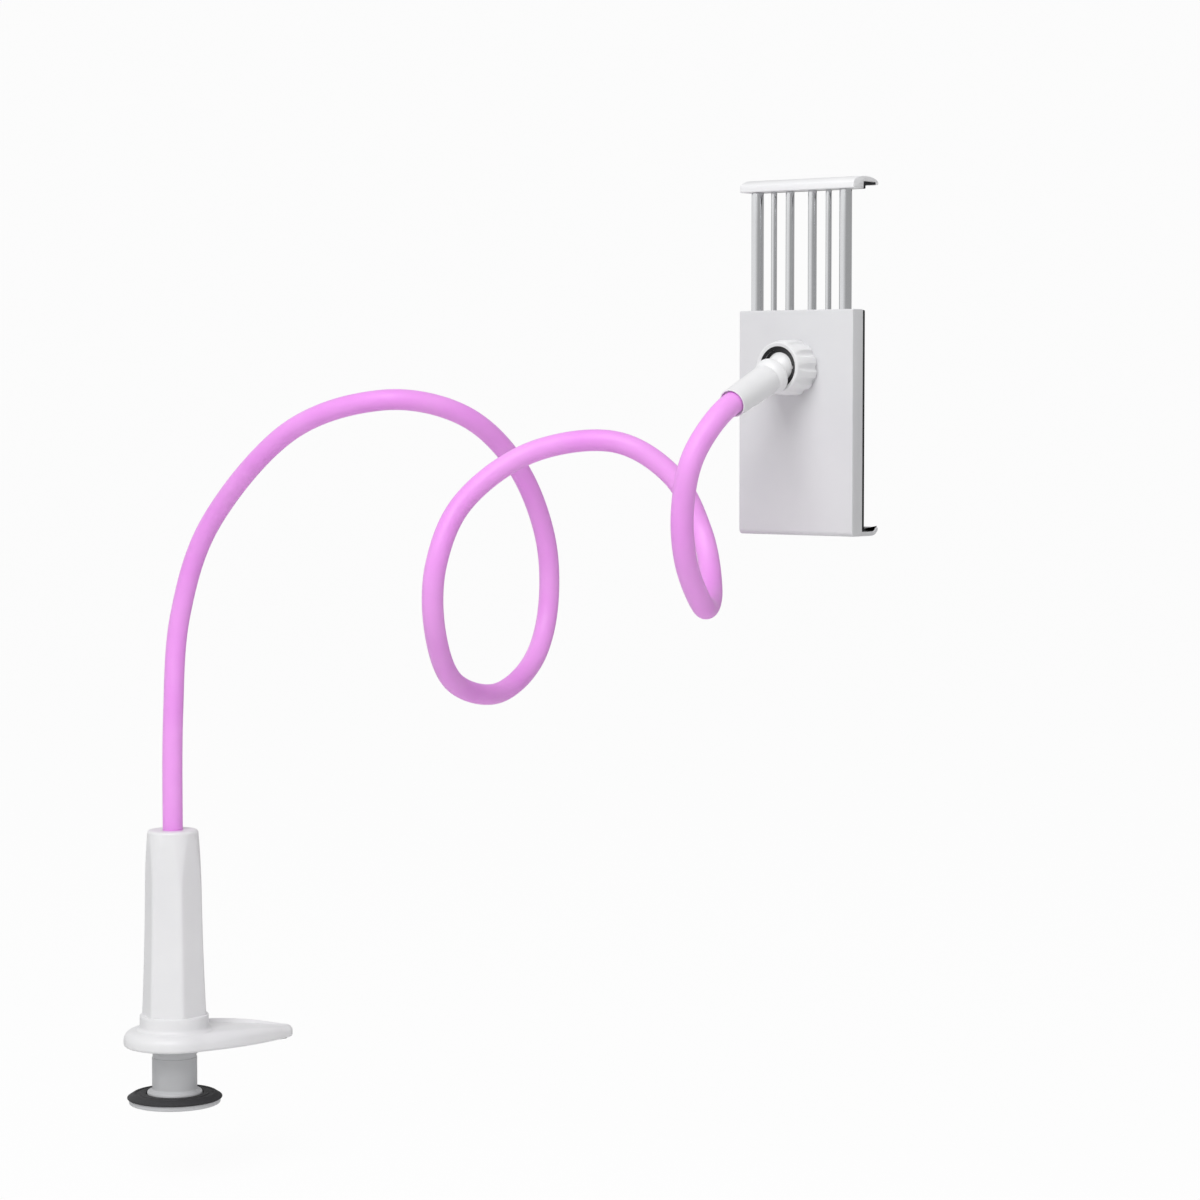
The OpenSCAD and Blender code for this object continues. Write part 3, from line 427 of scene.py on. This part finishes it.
# %% [markdown]
# Three helpers give most forms here. A turned form is a profile spun round an axis, as on a lathe.
# A swept side view is one face extruded across the width, with its end edges trimmed by two insets,
# because a moulded edge is never quite sharp. And a form that is round at one height and flat-sided
# at another is a ring that is extruded from level to level.

# %% Turned, extruded and raised forms
def arc(x, z, radius, start, end, steps=8):
    """Points on an arc round (x, z), between two angles in degrees."""
    angles = [math.radians(start + (end - start) * n / steps) for n in range(steps + 1)]
    return [(x + radius * math.cos(a), z + radius * math.sin(a)) for a in angles]


def turned(bm, profile, steps=96):
    """Spins a profile of (radius, height) pairs round the Z axis."""
    verts = [bm.verts.new((r, 0, z)) for r, z in profile]
    edges = [bm.edges.new(pair) for pair in zip(verts, verts[1:])]
    bmesh.ops.spin(bm, geom=verts + edges, cent=(0, 0, 0), axis=(0, 0, 1), angle=math.tau,
                   steps=steps, use_merge=True)
    bmesh.ops.remove_doubles(bm, verts=bm.verts, dist=1e-4)


def extruded(bm, outline, half_width, trims=((0.12, 0.28), (0.28, 0.12))):
    """Extrudes a side view of (y, z) pairs along X and trims the edges of both ends."""
    reach = half_width - sum(depth for _, depth in trims)
    near = bm.faces.new([bm.verts.new((-reach, y, z)) for y, z in outline])
    made = bmesh.ops.extrude_face_region(bm, geom=[near])["geom"]
    bmesh.ops.translate(bm, vec=(2 * reach, 0, 0),
                        verts=[g for g in made if isinstance(g, bmesh.types.BMVert)])
    far = next(g for g in made if isinstance(g, bmesh.types.BMFace))
    bmesh.ops.recalc_face_normals(bm, faces=bm.faces)
    for cap in (near, far):
        for inset, depth in trims:
            bmesh.ops.inset_region(bm, faces=[cap], thickness=inset, depth=depth,
                                   use_boundary=True, use_even_offset=True)


def raise_rings(bm, levels, sides, place):
    """Extrudes a circle from level to level. place(angle, level) gives each point of a ring."""
    verts = bmesh.ops.create_circle(bm, segments=sides, radius=1)["verts"]
    angle_of = {v: math.atan2(v.co.y, v.co.x) for v in verts}
    ring = first = list({e for v in verts for e in v.link_edges})
    for n, level in enumerate(levels):
        if n:
            made = bmesh.ops.extrude_edge_only(bm, edges=ring)["geom"]
            ring = [g for g in made if isinstance(g, bmesh.types.BMEdge)]
            angle_of = {v: next(angle_of[e.other_vert(v)] for e in v.link_edges
                                if e.other_vert(v) in angle_of)
                        for v in made if isinstance(v, bmesh.types.BMVert)}
        for v, angle in angle_of.items():
            v.co = place(angle, level)
    return first, ring


def soft_min(a, b, reach):
    """The smaller of two numbers, with a rounded turn between them."""
    share = max(reach - abs(a - b), 0) / reach
    return min(a, b) - share * share * reach / 4


# %% [markdown]
# ## The clamp body
# The leaf-shaped jaw and the column are one white moulding. The leaf's outline is a round end and a
# small tip with full sides between them, so the points of each ring are shared out between the
# round end, both sides and the tip. The column is round at its foot and at its top and six-sided
# between, and its flats fade into the round top.

# %% The leaf
ROUND_R, TIP_R, REACH = 22.7, 5.3, 50
JAW_Z, JAW_T, TIP_T, LOW_R, HIGH_R = 0.6, 7.4, 5.4, 1.4, 4.8
DISH = 0.3  # depth of the dished top
JAW_TOP = JAW_Z + JAW_T - DISH
TIP_HIGH_R, BORE_R = 2.6, 11.06
TURN_ANGLE = math.acos((ROUND_R - TIP_R) / REACH)
SIDE_SHARE, SIDE_BULGE, SIDE_RISE = 0.55, 3.0, 1.3
CLAMP = Matrix.Rotation(JAW_YAW, 4, "Z") @ Matrix.Translation((-PAD_OFFSET, 0, 0))


def leaf_point(angle, level):
    """A level is (kind, part of the way): a plain circle, the lower edge, or the upper edge."""
    kind, part = level
    if kind == "circle":
        radius, z = part
        return Vector((radius * math.cos(angle), radius * math.sin(angle), z))
    tip_span = (1 - SIDE_SHARE) * TURN_ANGLE
    along = min(max((TURN_ANGLE - abs(angle)) / (TURN_ANGLE - tip_span), 0), 1)
    side = math.copysign(TURN_ANGLE, angle)
    turn = side if 0 < along < 1 else angle if along == 0 else angle * TURN_ANGLE / tip_span
    out = Vector((math.cos(turn), math.sin(turn), 0))
    full = 4 * along * (1 - along)
    radius = ROUND_R + (TIP_R - ROUND_R) * along + SIDE_BULGE * full
    thick = JAW_T + (TIP_T - JAW_T) * along + SIDE_RISE * full
    high = HIGH_R + (TIP_HIGH_R - HIGH_R) * along
    sweep_angle = part * math.pi / 2
    if kind == "low":
        inset, z = LOW_R * (1 - math.sin(sweep_angle)), LOW_R * (1 - math.cos(sweep_angle))
    elif kind == "high":
        inset, z = high * (1 - math.cos(sweep_angle)), thick - high * (1 - math.sin(sweep_angle))
    else:
        inset, z = high * (1 + part), thick - (DISH + SIDE_RISE * full) * min(part / 0.4, 1)
    return (radius - inset) * out + Vector((REACH * along, 0, JAW_Z + z))


body = bmesh.new()
leaf_levels = ([("circle", (BORE_R, JAW_Z))] + [("low", n / 5) for n in range(6)]
               + [("high", n / 10) for n in range(11)] + [("dish", n / 10) for n in range(1, 5)]
               + [("circle", (16.6, JAW_TOP)), ("circle", (BORE_R, JAW_TOP))])
bottom, top = raise_rings(body, leaf_levels, 128, leaf_point)
bmesh.ops.bridge_loops(body, edges=bottom + top)
print("leaf", len(body.faces), "faces")

# %% The column
FOOT_R, TOP_R, EDGE_R, FILLET_R = 15.4, 11.4, 1.4, 2.2
LEDGE_Z, SOCKET_R = 14.6, SLEEVE_R + 0.06
FLAT_FOOT, FLAT_TOP, FLAT_STEPS = 13.1, 11.46, 40
SWELL, HOLLOW = 0.7, 0.5  # bulge of the ridges and hollow of the flats at mid height
RIDGE_POWER = 26  # the higher it is, the sharper the ridges
FLAT_EDGE = 0.3


def column_radius(z):
    t = (z - LEDGE_Z + 1) / (COLUMN_TOP - EDGE_R - LEDGE_Z + 1)
    return FOOT_R + (TOP_R - FOOT_R) * t + SWELL * 4 * t * (1 - t)


def column_point(angle, level):
    radius, z, flat = level
    if flat:
        t = (z - LEDGE_Z) / (COLUMN_TOP - EDGE_R - LEDGE_Z)
        half = FLAT_FOOT + (FLAT_TOP - FLAT_FOOT) * t - HOLLOW * 4 * t * (1 - t)
        off = (angle + math.pi / 6) % (math.pi / 3) - math.pi / 6
        ridge = (math.cos(off) ** RIDGE_POWER
                 + math.cos(math.pi / 3 - abs(off)) ** RIDGE_POWER) ** (1 / RIDGE_POWER)
        radius = soft_min(radius, half / ridge, FLAT_EDGE)
    return Vector((radius * math.cos(angle), radius * math.sin(angle), z))


def round_levels(points):
    return [(r, z, False) for r, z in points]


levels = round_levels(arc(FOOT_R + FILLET_R + 0.1, JAW_TOP + FILLET_R, FILLET_R, 268, 180))
levels += [(column_radius(z), z, False) for z in (11.5, 13, LEDGE_Z - 0.35)]
levels += [(column_radius(LEDGE_Z) - 0.12, LEDGE_Z - 0.06, False)]
for n in range(FLAT_STEPS + 1):
    z = LEDGE_Z + (COLUMN_TOP - EDGE_R - LEDGE_Z) * n / FLAT_STEPS
    levels.append((column_radius(z), z, True))
levels += round_levels(arc(TOP_R - EDGE_R, COLUMN_TOP - EDGE_R, EDGE_R, 12, 90, 7))
levels += round_levels(arc(SOCKET_R + 0.5, COLUMN_TOP - 0.5, 0.5, 90, 180, 4))
levels += [(SOCKET_R, COLUMN_TOP - ARM_SOCKET, False)]
bottom, top = raise_rings(body, levels, 180, column_point)
bmesh.ops.holes_fill(body, edges=bottom)
bmesh.ops.holes_fill(body, edges=top)
finish_piece("clamp_skin", body, white_plastic, "clamp", CLAMP,
             ["clamp_body"], 25)

# %% [markdown]
# ## The lower jaw
# The grey jaw is a turned form: a round plate, a bead, a smooth shank and a threaded tube. A thread
# is a small profile that climbs while it goes round, and spin does that when it is given a step
# along the axis. The crest stays just inside the plain tube of the CAD model.

# %% The plate, the shank and the thread
PLATE_Z, PLATE_T, PLATE_R, SHANK_R, BEAD_R = -22.3, 3.4, 20.5, 10.1, 12.4
TUBE_TOP, TUBE_BORE_R, ROOT_R, CREST_R, PITCH = 26, 8.2, 9.8, 10.95, 3
THREAD_Z = JAW_Z - 5
jaw = bmesh.new()
turned(jaw, [(0, PLATE_Z - PLATE_T)] + arc(PLATE_R - 0.8, PLATE_Z - PLATE_T + 0.8, 0.8, -90, 0)
       + [(PLATE_R, PLATE_Z - 0.4)] + arc(PLATE_R - 0.4, PLATE_Z - 0.4, 0.4, 0, 90, 4)
       + [(BEAD_R - 0.3, PLATE_Z)] + arc(BEAD_R - 1.4, PLATE_Z + 1.4, 1.4, -50, 90, 10)
       + arc(SHANK_R + 0.9, PLATE_Z + 3.7, 0.9, 270, 180, 6)
       + [(SHANK_R, THREAD_Z - 0.4), (ROOT_R, THREAD_Z - 0.1), (ROOT_R, TUBE_TOP - 0.7),
          (ROOT_R - 0.7, TUBE_TOP), (TUBE_BORE_R, TUBE_TOP), (TUBE_BORE_R, PLATE_Z), (0, PLATE_Z)])
TURN_STEPS, TURNS = 60, 9.5
crest = [jaw.verts.new((r, 0, THREAD_Z + z)) for r, z in
         ((ROOT_R - 0.2, -0.1), (CREST_R - 0.12, 0.62), (CREST_R, 0.76), (CREST_R, 1.04),
          (CREST_R - 0.12, 1.18), (ROOT_R - 0.2, 1.9))]
start = [jaw.edges.new(pair) for pair in zip(crest, crest[1:] + crest[:1])]
jaw.faces.new(crest)
end = bmesh.ops.spin(jaw, geom=crest + start, cent=(0, 0, 0), axis=(0, 0, 1),
                     dvec=(0, 0, PITCH / TURN_STEPS), angle=math.tau * TURNS,
                     steps=round(TURN_STEPS * TURNS))["geom_last"]
jaw.faces.new([v for v in end if isinstance(v, bmesh.types.BMVert)])
finish_piece("lower_jaw_skin", jaw, grey_plastic, "screw_jaw", CLAMP,
             ["lower_jaw"], 40)

# %% The pad ring
PAD_TOP, PAD_IN_R, PAD_R, PAD_GAP, GROOVE_DEPTH = -20.84, 12.9, 21.3, 0.04, 0.35
PAD_FOOT, GROOVE_Z = PLATE_Z + PAD_GAP, PAD_TOP - GROOVE_DEPTH
pad = bmesh.new()
turned(pad, [(PAD_IN_R, PAD_FOOT)] + arc(PAD_IN_R + 0.3, PAD_TOP - 0.3, 0.3, 180, 90, 4)
       + [(15.6, PAD_TOP), (15.9, GROOVE_Z), (17.4, GROOVE_Z), (17.7, PAD_TOP)]
       + arc(17.9, PAD_TOP - 2.2, 2.2, 90, 52, 5)
       + arc(PAD_R - 0.5, PLATE_Z - 0.62, 0.5, 52, -90, 8)
       + [(PLATE_R + PAD_GAP, PLATE_Z - 1.12), (PLATE_R + PAD_GAP, PAD_FOOT),
          (PAD_IN_R, PAD_FOOT)])
finish_piece("lower_pad_skin", pad, rubber, "jaw_pad", CLAMP, ["lower_pad"], 40)

# %% [markdown]
# ## The ball joint
# The white ball turns in a black friction liner. A black ring in the nut's mouth is painted shade
# for the shaded gap between the ball and the nut, and it shows as a dark ring round the neck. The
# nut has twelve scallops for the fingers. Its outside bends in towards the mouth, so each scallop is
# deep at the foot and runs out before the front edge.

# %% Neck, ball and ring nut
SOCKET_AXIS = Matrix.Translation(BALL) @ Matrix.Rotation(math.radians(90), 4, "X")
NECK_AXIS = Matrix.Translation(BALL) @ Matrix.Rotation(math.radians(90) + NECK_TILT, 4, "X")
NECK_FRONT, STEM_R, BALL_R, COLLAR_R, DOME_R = 6.3, 3.2, 6.8, 11.2, 7.35
neck = bmesh.new()
turned(neck, [(0, NECK_FRONT)] + arc(3.5, NECK_FRONT + 0.2, 0.2, -90, -30, 3)
       + [(4.2, 7.25), (4.7, 8.05), (5.2, 8.9)] + arc(0, 0, COLLAR_R, 59, 50, 5)
       + arc(6.95, 8.9, 0.35, -40, 0, 4) + arc(DOME_R - 5, 9.2, 5, 0, 46, 9)
       + [(5.98, 12.88), (5.95, 13.1), (6.08, 13.3), (6.2, 13.9), (6.2, 16),
          (5.72, NECK_LEN - 0.4)]
       + arc(5.42, NECK_LEN - 0.3, 0.3, 0, 180, 8)
       + [(5.1, NECK_LEN - 1.5), (SOCKET_R, NECK_LEN - 1.6), (SOCKET_R, NECK_LEN - NECK_SOCKET),
          (0, NECK_LEN - NECK_SOCKET)])
finish_piece("neck_skin", neck, white_plastic, "arm_6", NECK_AXIS, ["neck"])

ball = bmesh.new()
stem_end = NECK_FRONT - 0.02
turned(ball, arc(0, 0, BALL_R, -90, 61.9, 40) + [(STEM_R, stem_end), (0, stem_end)])
finish_piece("ball_skin", ball, white_plastic, "arm_6", NECK_AXIS, ["ball_stud"])

NUT_R, NUT_FOOT, NUT_LIP, NUT_TAPER, NUT_STRAIGHT = 11.16, -7.2, 5, 1.2, 4.4
SCALLOPS, SCALLOP_R, SCALLOP_DEPTH, THREAD_BORE, SEAT_R = 12, 1.8, 1.05, 9.46, 8.06
SCALLOP_EDGE, TAPER_STEPS = 0.15, 12


def nut_point(angle, level):
    radius, z, cut = level
    if cut:
        span = math.tau / SCALLOPS
        off = (angle + span / 2) % span - span / 2
        centre = NUT_R + SCALLOP_R - SCALLOP_DEPTH
        side = centre * math.sin(off)
        if abs(side) < SCALLOP_R:
            groove = centre * math.cos(off) - math.sqrt(SCALLOP_R**2 - side**2)
            radius = soft_min(radius, groove, SCALLOP_EDGE)
    return Vector((radius * math.cos(angle), radius * math.sin(angle), z))


levels = [(THREAD_BORE, NUT_FOOT, False), (NUT_R - 0.4, NUT_FOOT, True)]
levels += [(r, z, True) for r, z in arc(NUT_R - 0.4, NUT_FOOT + 0.4, 0.4, -60, 0, 3)]
for n in range(TAPER_STEPS + 1):
    t = n / TAPER_STEPS
    levels.append((NUT_R - NUT_TAPER * t * t,
                   NUT_FOOT + NUT_STRAIGHT + (NUT_LIP - 0.2 - NUT_FOOT - NUT_STRAIGHT) * t, True))
levels += [(NUT_R - NUT_TAPER - 0.2, NUT_LIP, False), (9.4, NUT_LIP - 0.03, False),
           (7.12, 3.78, False)]
levels += round_levels(arc(0, 0, SEAT_R, 24, 0, 5) + [(THREAD_BORE, 0)])
nut = bmesh.new()
bottom, top = raise_rings(nut, levels, 240, nut_point)
bmesh.ops.bridge_loops(nut, edges=bottom + top)
finish_piece("ring_nut_skin", nut, white_plastic, "nut", SOCKET_AXIS, ["ring_nut"])

# A black ring in the nut's mouth: painted shade for the shaded gap between the ball and the nut.
mouth_shade_ring = bmesh.new()
turned(mouth_shade_ring, [(7.16, 3.83), (7.1, 3.94), (8.3, 4.58), (8.4, 4.56), (8.4, 4.49),
                     (7.16, 3.83)])
finish_piece("nut_mouth_painted_shade", mouth_shade_ring, black_plastic, "nut", SOCKET_AXIS)

# %% [markdown]
# ## The cradle
# The rear shell, the lower hook and the sliding hook each have one side view along the whole width,
# so each is drawn once as an outline and extruded. The lower hook curls up to a round tip. The
# sliding hook is an arched bar with a small lip.

# %% Rear shell and lower hook
CRADLE = Matrix.Translation(BALL)
HALF_W, BOX_BACK, BOX_FRONT, BOX_TOP, BOX_BOTTOM = 27.5, 8, 15.4, 23, -67
FLOOR_T, CURL_R, CURL_ANGLE = 1.8, 5, 54
CURL_Y, CURL_Z, HEEL_R = 22.553, BOX_BOTTOM + CURL_R, 2
FLOOR_TOP, TIP_ANGLE = BOX_BOTTOM + FLOOR_T, CURL_ANGLE - 90
MID_R = CURL_R - FLOOR_T / 2
tip_y = CURL_Y + MID_R * math.cos(math.radians(TIP_ANGLE))
tip_z = CURL_Z + MID_R * math.sin(math.radians(TIP_ANGLE))
PLATE_HALF, PLATE_LOW, PLATE_HIGH, PLATE_BACK = 26.73, -65.17, 22.23, 14.37
CAVITY_HALF, CAVITY_LOW, CAVITY_HIGH, CAVITY_BACK = 25.9, -61, 19, 9.2
shell = bmesh.new()
extruded(shell, arc(BOX_BACK + HEEL_R, BOX_BOTTOM + HEEL_R, HEEL_R, 180, 270)
         + arc(CURL_Y, CURL_Z, CURL_R, -90, TIP_ANGLE, 16)
         + arc(tip_y, tip_z, FLOOR_T / 2, TIP_ANGLE + 15, TIP_ANGLE + 165, 10)
         + arc(CURL_Y, CURL_Z, CURL_R - FLOOR_T, TIP_ANGLE, -90, 12)
         + [(BOX_FRONT, FLOOR_TOP)]
         + arc(BOX_FRONT - 0.4, BOX_TOP - 0.4, 0.4, 0, 90, 4)
         + arc(BOX_BACK + 0.6, BOX_TOP - 0.6, 0.6, 90, 180, 5), HALF_W)
front = max((f for f in shell.faces if f.normal.y > 0.99), key=lambda f: f.calc_area())
for half, low, high, y in ((PLATE_HALF, PLATE_LOW, PLATE_HIGH, BOX_FRONT),
                           (PLATE_HALF, PLATE_LOW, PLATE_HIGH, PLATE_BACK),
                           (CAVITY_HALF, CAVITY_LOW, CAVITY_HIGH, PLATE_BACK),
                           (CAVITY_HALF, CAVITY_LOW, CAVITY_HIGH, CAVITY_BACK)):
    bmesh.ops.inset_region(shell, faces=[front], thickness=0.01)
    for vert in front.verts:
        vert.co = (math.copysign(half, vert.co.x), y, high if vert.co.z > 0 else low)
finish_piece("rear_shell_skin", shell, shell_plastic, "cradle", CRADLE,
             ["rear_shell"], 40)

BOSS_R, BOSS_TOP, BOSS_FOOT, FLANGE_R, FLANGE_TOP = 9.36, -0.15, -9.1, 10.36, -7.26
boss = bmesh.new()
turned(boss, [(0, BOSS_FOOT), (FLANGE_R, BOSS_FOOT)]
       + arc(FLANGE_R - 0.2, FLANGE_TOP - 0.2, 0.2, 0, 90, 3)
       + [(BOSS_R, FLANGE_TOP), (BOSS_R, BOSS_TOP), (SEAT_R, BOSS_TOP)]
       + arc(0, 0, SEAT_R, -2, -90, 20))
finish_piece("boss_skin", boss, shell_plastic, "cradle", SOCKET_AXIS)

# %% Sliding hook
SLIDE_Z, HOOK_H, BACK_H, ROOF_T, LIP_DROP = 70.5, 5.1, 2, 2.2, 1.1
LIP_BACK, LIP_FRONT = 24.47, 25.97
SLIDE_TOP, ROOF_Z = SLIDE_Z + HOOK_H, SLIDE_Z + HOOK_H - ROOF_T
LIP_R = (LIP_FRONT - LIP_BACK) / 2
crest_y, arch_w = (BOX_BACK + LIP_FRONT) / 2, (LIP_FRONT - BOX_BACK) / 2
lip_z = ROOF_Z - LIP_DROP + LIP_R


def arch(base, start, end, steps):
    """Points on the arched top, which stands on the height base."""
    return [(crest_y + arch_w * math.cos(a), base + (SLIDE_TOP - base) * math.sin(a))
            for a in (math.radians(start + (end - start) * n / steps) for n in range(steps + 1))]


hook = bmesh.new()
extruded(hook, arc(BOX_BACK + 0.4, SLIDE_Z + 0.4, 0.4, 270, 180, 4)
         + arch(SLIDE_Z + BACK_H, 176, 90, 22) + arch(lip_z, 86, 4, 22)
         + arc(LIP_FRONT - LIP_R, lip_z, LIP_R, -6, -180, 12)
         + arc(LIP_BACK - 0.3, ROOF_Z - 0.3, 0.3, 0, 90, 3)
         + arc(BOX_FRONT + 0.4, ROOF_Z - 0.4, 0.4, 90, 180, 4)
         + arc(BOX_FRONT - 0.3, SLIDE_Z + 0.3, 0.3, 0, -90, 4), HALF_W)
finish_piece("sliding_hook_skin", hook, white_plastic, "slide", CRADLE,
             ["sliding_hook"], 40)

# %% [markdown]
# ## The foam linings
# The linings are cut from one sheet of black foam and glued in. They are soft, so their edges are
# rounder than the plastic's, and the foam in each hook runs round the inner corner in a curve.

# %% Foam on the box and in both hooks
FOAM_HALF, FOAM_Y, FOAM_FRONT, FOAM_T = 27.2, 15.43, 17.2, 1.0
FOAM_TOP = FLOOR_TOP + FOAM_T + 0.03
LINING_R = CURL_R - FLOOR_T - 0.03
SOFT_TRIMS = ((0.1, 0.2), (0.18, 0.1))


def lining(name, body, replaces, outline):
    bm = bmesh.new()
    extruded(bm, outline, FOAM_HALF, SOFT_TRIMS)
    finish_piece(name, bm, foam, body, CRADLE, replaces)


lining("back_lining", "cradle", ["back_foam"],
       arc(FOAM_Y + 0.3, FOAM_TOP + 0.3, 0.3, 180, 270, 3)
       + arc(FOAM_FRONT - 0.3, FOAM_TOP + 0.3, 0.3, 270, 360, 4)
       + arc(FOAM_FRONT - 0.5, BOX_TOP - 0.8, 0.5, 0, 90, 5)
       + arc(FOAM_Y + 0.3, BOX_TOP - 0.6, 0.3, 90, 180, 3))
tip_turn = math.asin((FOAM_TOP - 0.3 - CURL_Z) / (LINING_R - 0.3))
lining("lower_hook_lining", "cradle", ["lower_hook_foam"],
       [(FOAM_Y, FLOOR_TOP + 0.03)] + arc(CURL_Y, CURL_Z, LINING_R, -90, math.degrees(tip_turn), 8)
       + arc(CURL_Y + (LINING_R - 0.3) * math.cos(tip_turn), FOAM_TOP - 0.3, 0.3,
             math.degrees(tip_turn), 90, 6)
       + arc(FOAM_FRONT + 1.4, FOAM_TOP + 1.4, 1.4, 270, 218, 6)
       + [(FOAM_FRONT + 0.02, FOAM_TOP + 0.54), (FOAM_FRONT + 0.02, FOAM_TOP), (FOAM_Y, FOAM_TOP)])
lining("upper_hook_lining", "slide", ["upper_hook_foam"],
       [(FOAM_Y, ROOF_Z - 0.03)] + arc(FOAM_Y + 0.3, SLIDE_Z + 0.3, 0.3, 180, 270, 3)
       + arc(FOAM_FRONT - 0.3, SLIDE_Z + 0.3, 0.3, 270, 360, 4)
       + arc(FOAM_FRONT + 1, ROOF_Z - FOAM_T - 1, 1, 180, 90, 8)
       + arc(LIP_BACK - 0.33, ROOF_Z - FOAM_T + 0.3, 0.3, -90, 0, 4)
       + [(LIP_BACK - 0.35, ROOF_Z - 0.03)])

# %% [markdown]
# ## The rods
# Six polished rods carry the sliding hook. They are turned with many sides, because a mirror shows
# every flat. Each has a thinner end in the hook and in the crossbar inside the box.

# %% Six rods
ROD_Y, CROSSBAR_TOP, ROD_SEAT, ROD_END = 11.8, -8, 3, 0.7
ROD_LOW, ROD_HIGH, ROD_SHOULDER = CROSSBAR_TOP - ROD_SEAT, SLIDE_Z + ROD_SEAT - 0.1, SLIDE_Z - 0.03
RODS = {"guide": (21.3, 5), "spring": (13.2, 2.4), "centre": (5.4, 3.5)}  # place and diameter
for kind, (x, d) in RODS.items():
    for side_name, side_x in (("left", -x), ("right", x)):
        rod = bmesh.new()
        r = d / 2
        end_r = ROD_END * r
        turned(rod, [(0, ROD_LOW), (end_r, ROD_LOW), (end_r, CROSSBAR_TOP)]
               + arc(r - 0.2, CROSSBAR_TOP + 0.2, 0.2, -90, 0, 3)
               + arc(r - 0.2, ROD_SHOULDER - 0.2, 0.2, 0, 90, 3)
               + [(end_r, ROD_SHOULDER), (end_r, ROD_HIGH), (0, ROD_HIGH)], 64)
        finish_piece(f"{kind}_rod_{side_name}_skin", rod, polished_steel, "slide",
                     CRADLE @ Matrix.Translation((side_x, ROD_Y, 0)), [f"{kind}_rod_{side_name}"])

# %% [markdown]
# ## Floor, backdrop and light
# The floor and the backdrop are one wide shallow bowl, so no edge shows from any side. To the
# camera it is nearly white by its own material and keeps a faint shadow. The metal sees a soft
# room that is bright on one side, and all other light is one even sky with one wide lamp.

# %% The stage
FLOOR_Z, FLAT_REACH, BOWL_R, RIM_Z = -60, 4200, 900, 1600
bowl = bmesh.new()
turned(bowl, [(0, FLOOR_Z), (400, FLOOR_Z), (FLAT_REACH, FLOOR_Z)]
       + arc(FLAT_REACH, FLOOR_Z + BOWL_R, BOWL_R, -90, 0, 12)
       + [(FLAT_REACH + BOWL_R, RIM_Z)], 64)
bmesh.ops.transform(bowl, matrix=Matrix.Scale(MM, 4), verts=bowl.verts)
for face in bowl.faces:
    face.smooth = True
floor_mesh = bpy.data.meshes.new("floor")
bowl.to_mesh(floor_mesh)
bowl.free()
floor = bpy.data.objects.new("floor", floor_mesh)
bpy.context.scene.collection.objects.link(floor)

TO_THE_RIGHT = (0.79, 0.62, 0)  # as the photograph was taken
BRIGHT, GREY = 1.15, 0.5
SHEET_REACH = 5  # metres from the object to the sheet's rim


def room_glow(shader, where, reach):
    """What a mirror sees: a room that is bright on the left and greyer on the right."""
    side = shader.node("ShaderNodeVectorMath", {"operation": "DOT_PRODUCT"},
                       {0: where, 1: TO_THE_RIGHT}, "Value")
    return shader.ramp(side, BRIGHT, GREY, -0.8 * reach, 0.1 * reach)


stage = Shader("stage_white")
seen = stage.node("ShaderNodeLightPath", output="Is Camera Ray")
mirrored = stage.node("ShaderNodeLightPath", output="Is Glossy Ray")
white_sheet = stage.node("ShaderNodeEmission", {}, {
    "Color": (1, 1, 1, 1),
    "Strength": seen + mirrored * room_glow(stage, stage.place(), SHEET_REACH)})
matte_sheet = stage.node("ShaderNodeBsdfDiffuse", {}, {"Color": (0.93, 0.93, 0.93, 1)})
lit = stage.node("ShaderNodeMixShader", {}, {0: seen * 0.95 + mirrored * 0.9, 1: matte_sheet,
                                             2: white_sheet})
stage.tree.links.new(lit.socket, stage.tree.nodes["Material Output"].inputs["Surface"])
floor_mesh.materials.append(stage.material)

# %% World and lamps
SKY = 0.45
bpy.context.scene.world = bpy.data.worlds.new("studio")
studio = Shader(bpy.context.scene.world)
seen = studio.node("ShaderNodeLightPath", output="Is Camera Ray")
mirrored = studio.node("ShaderNodeLightPath", output="Is Glossy Ray")
room = room_glow(studio, studio.node("ShaderNodeTexCoord", output="Generated"), 1)
studio.set(Color=(1, 1, 1, 1), Strength=seen * (1 - SKY) + mirrored * (room - SKY) + SKY)


LAMP_PLACE, LAMP_TARGET = Vector((0.55, -1.1, 1.45)), Vector((0.14, 0, 0.18))
LAMP_SIZE, LAMP_WATTS = 1.3, 19
lamp_data = bpy.data.lights.new("key_lamp", "AREA")
lamp_data.shape, lamp_data.size, lamp_data.energy = "DISK", LAMP_SIZE, LAMP_WATTS
lamp = bpy.data.objects.new("key_lamp", lamp_data)
bpy.context.scene.collection.objects.link(lamp)
lamp.location = LAMP_PLACE
lamp.rotation_euler = (LAMP_TARGET - LAMP_PLACE).to_track_quat("-Z", "Y").to_euler()

bpy.context.scene.view_settings.view_transform = "Standard"
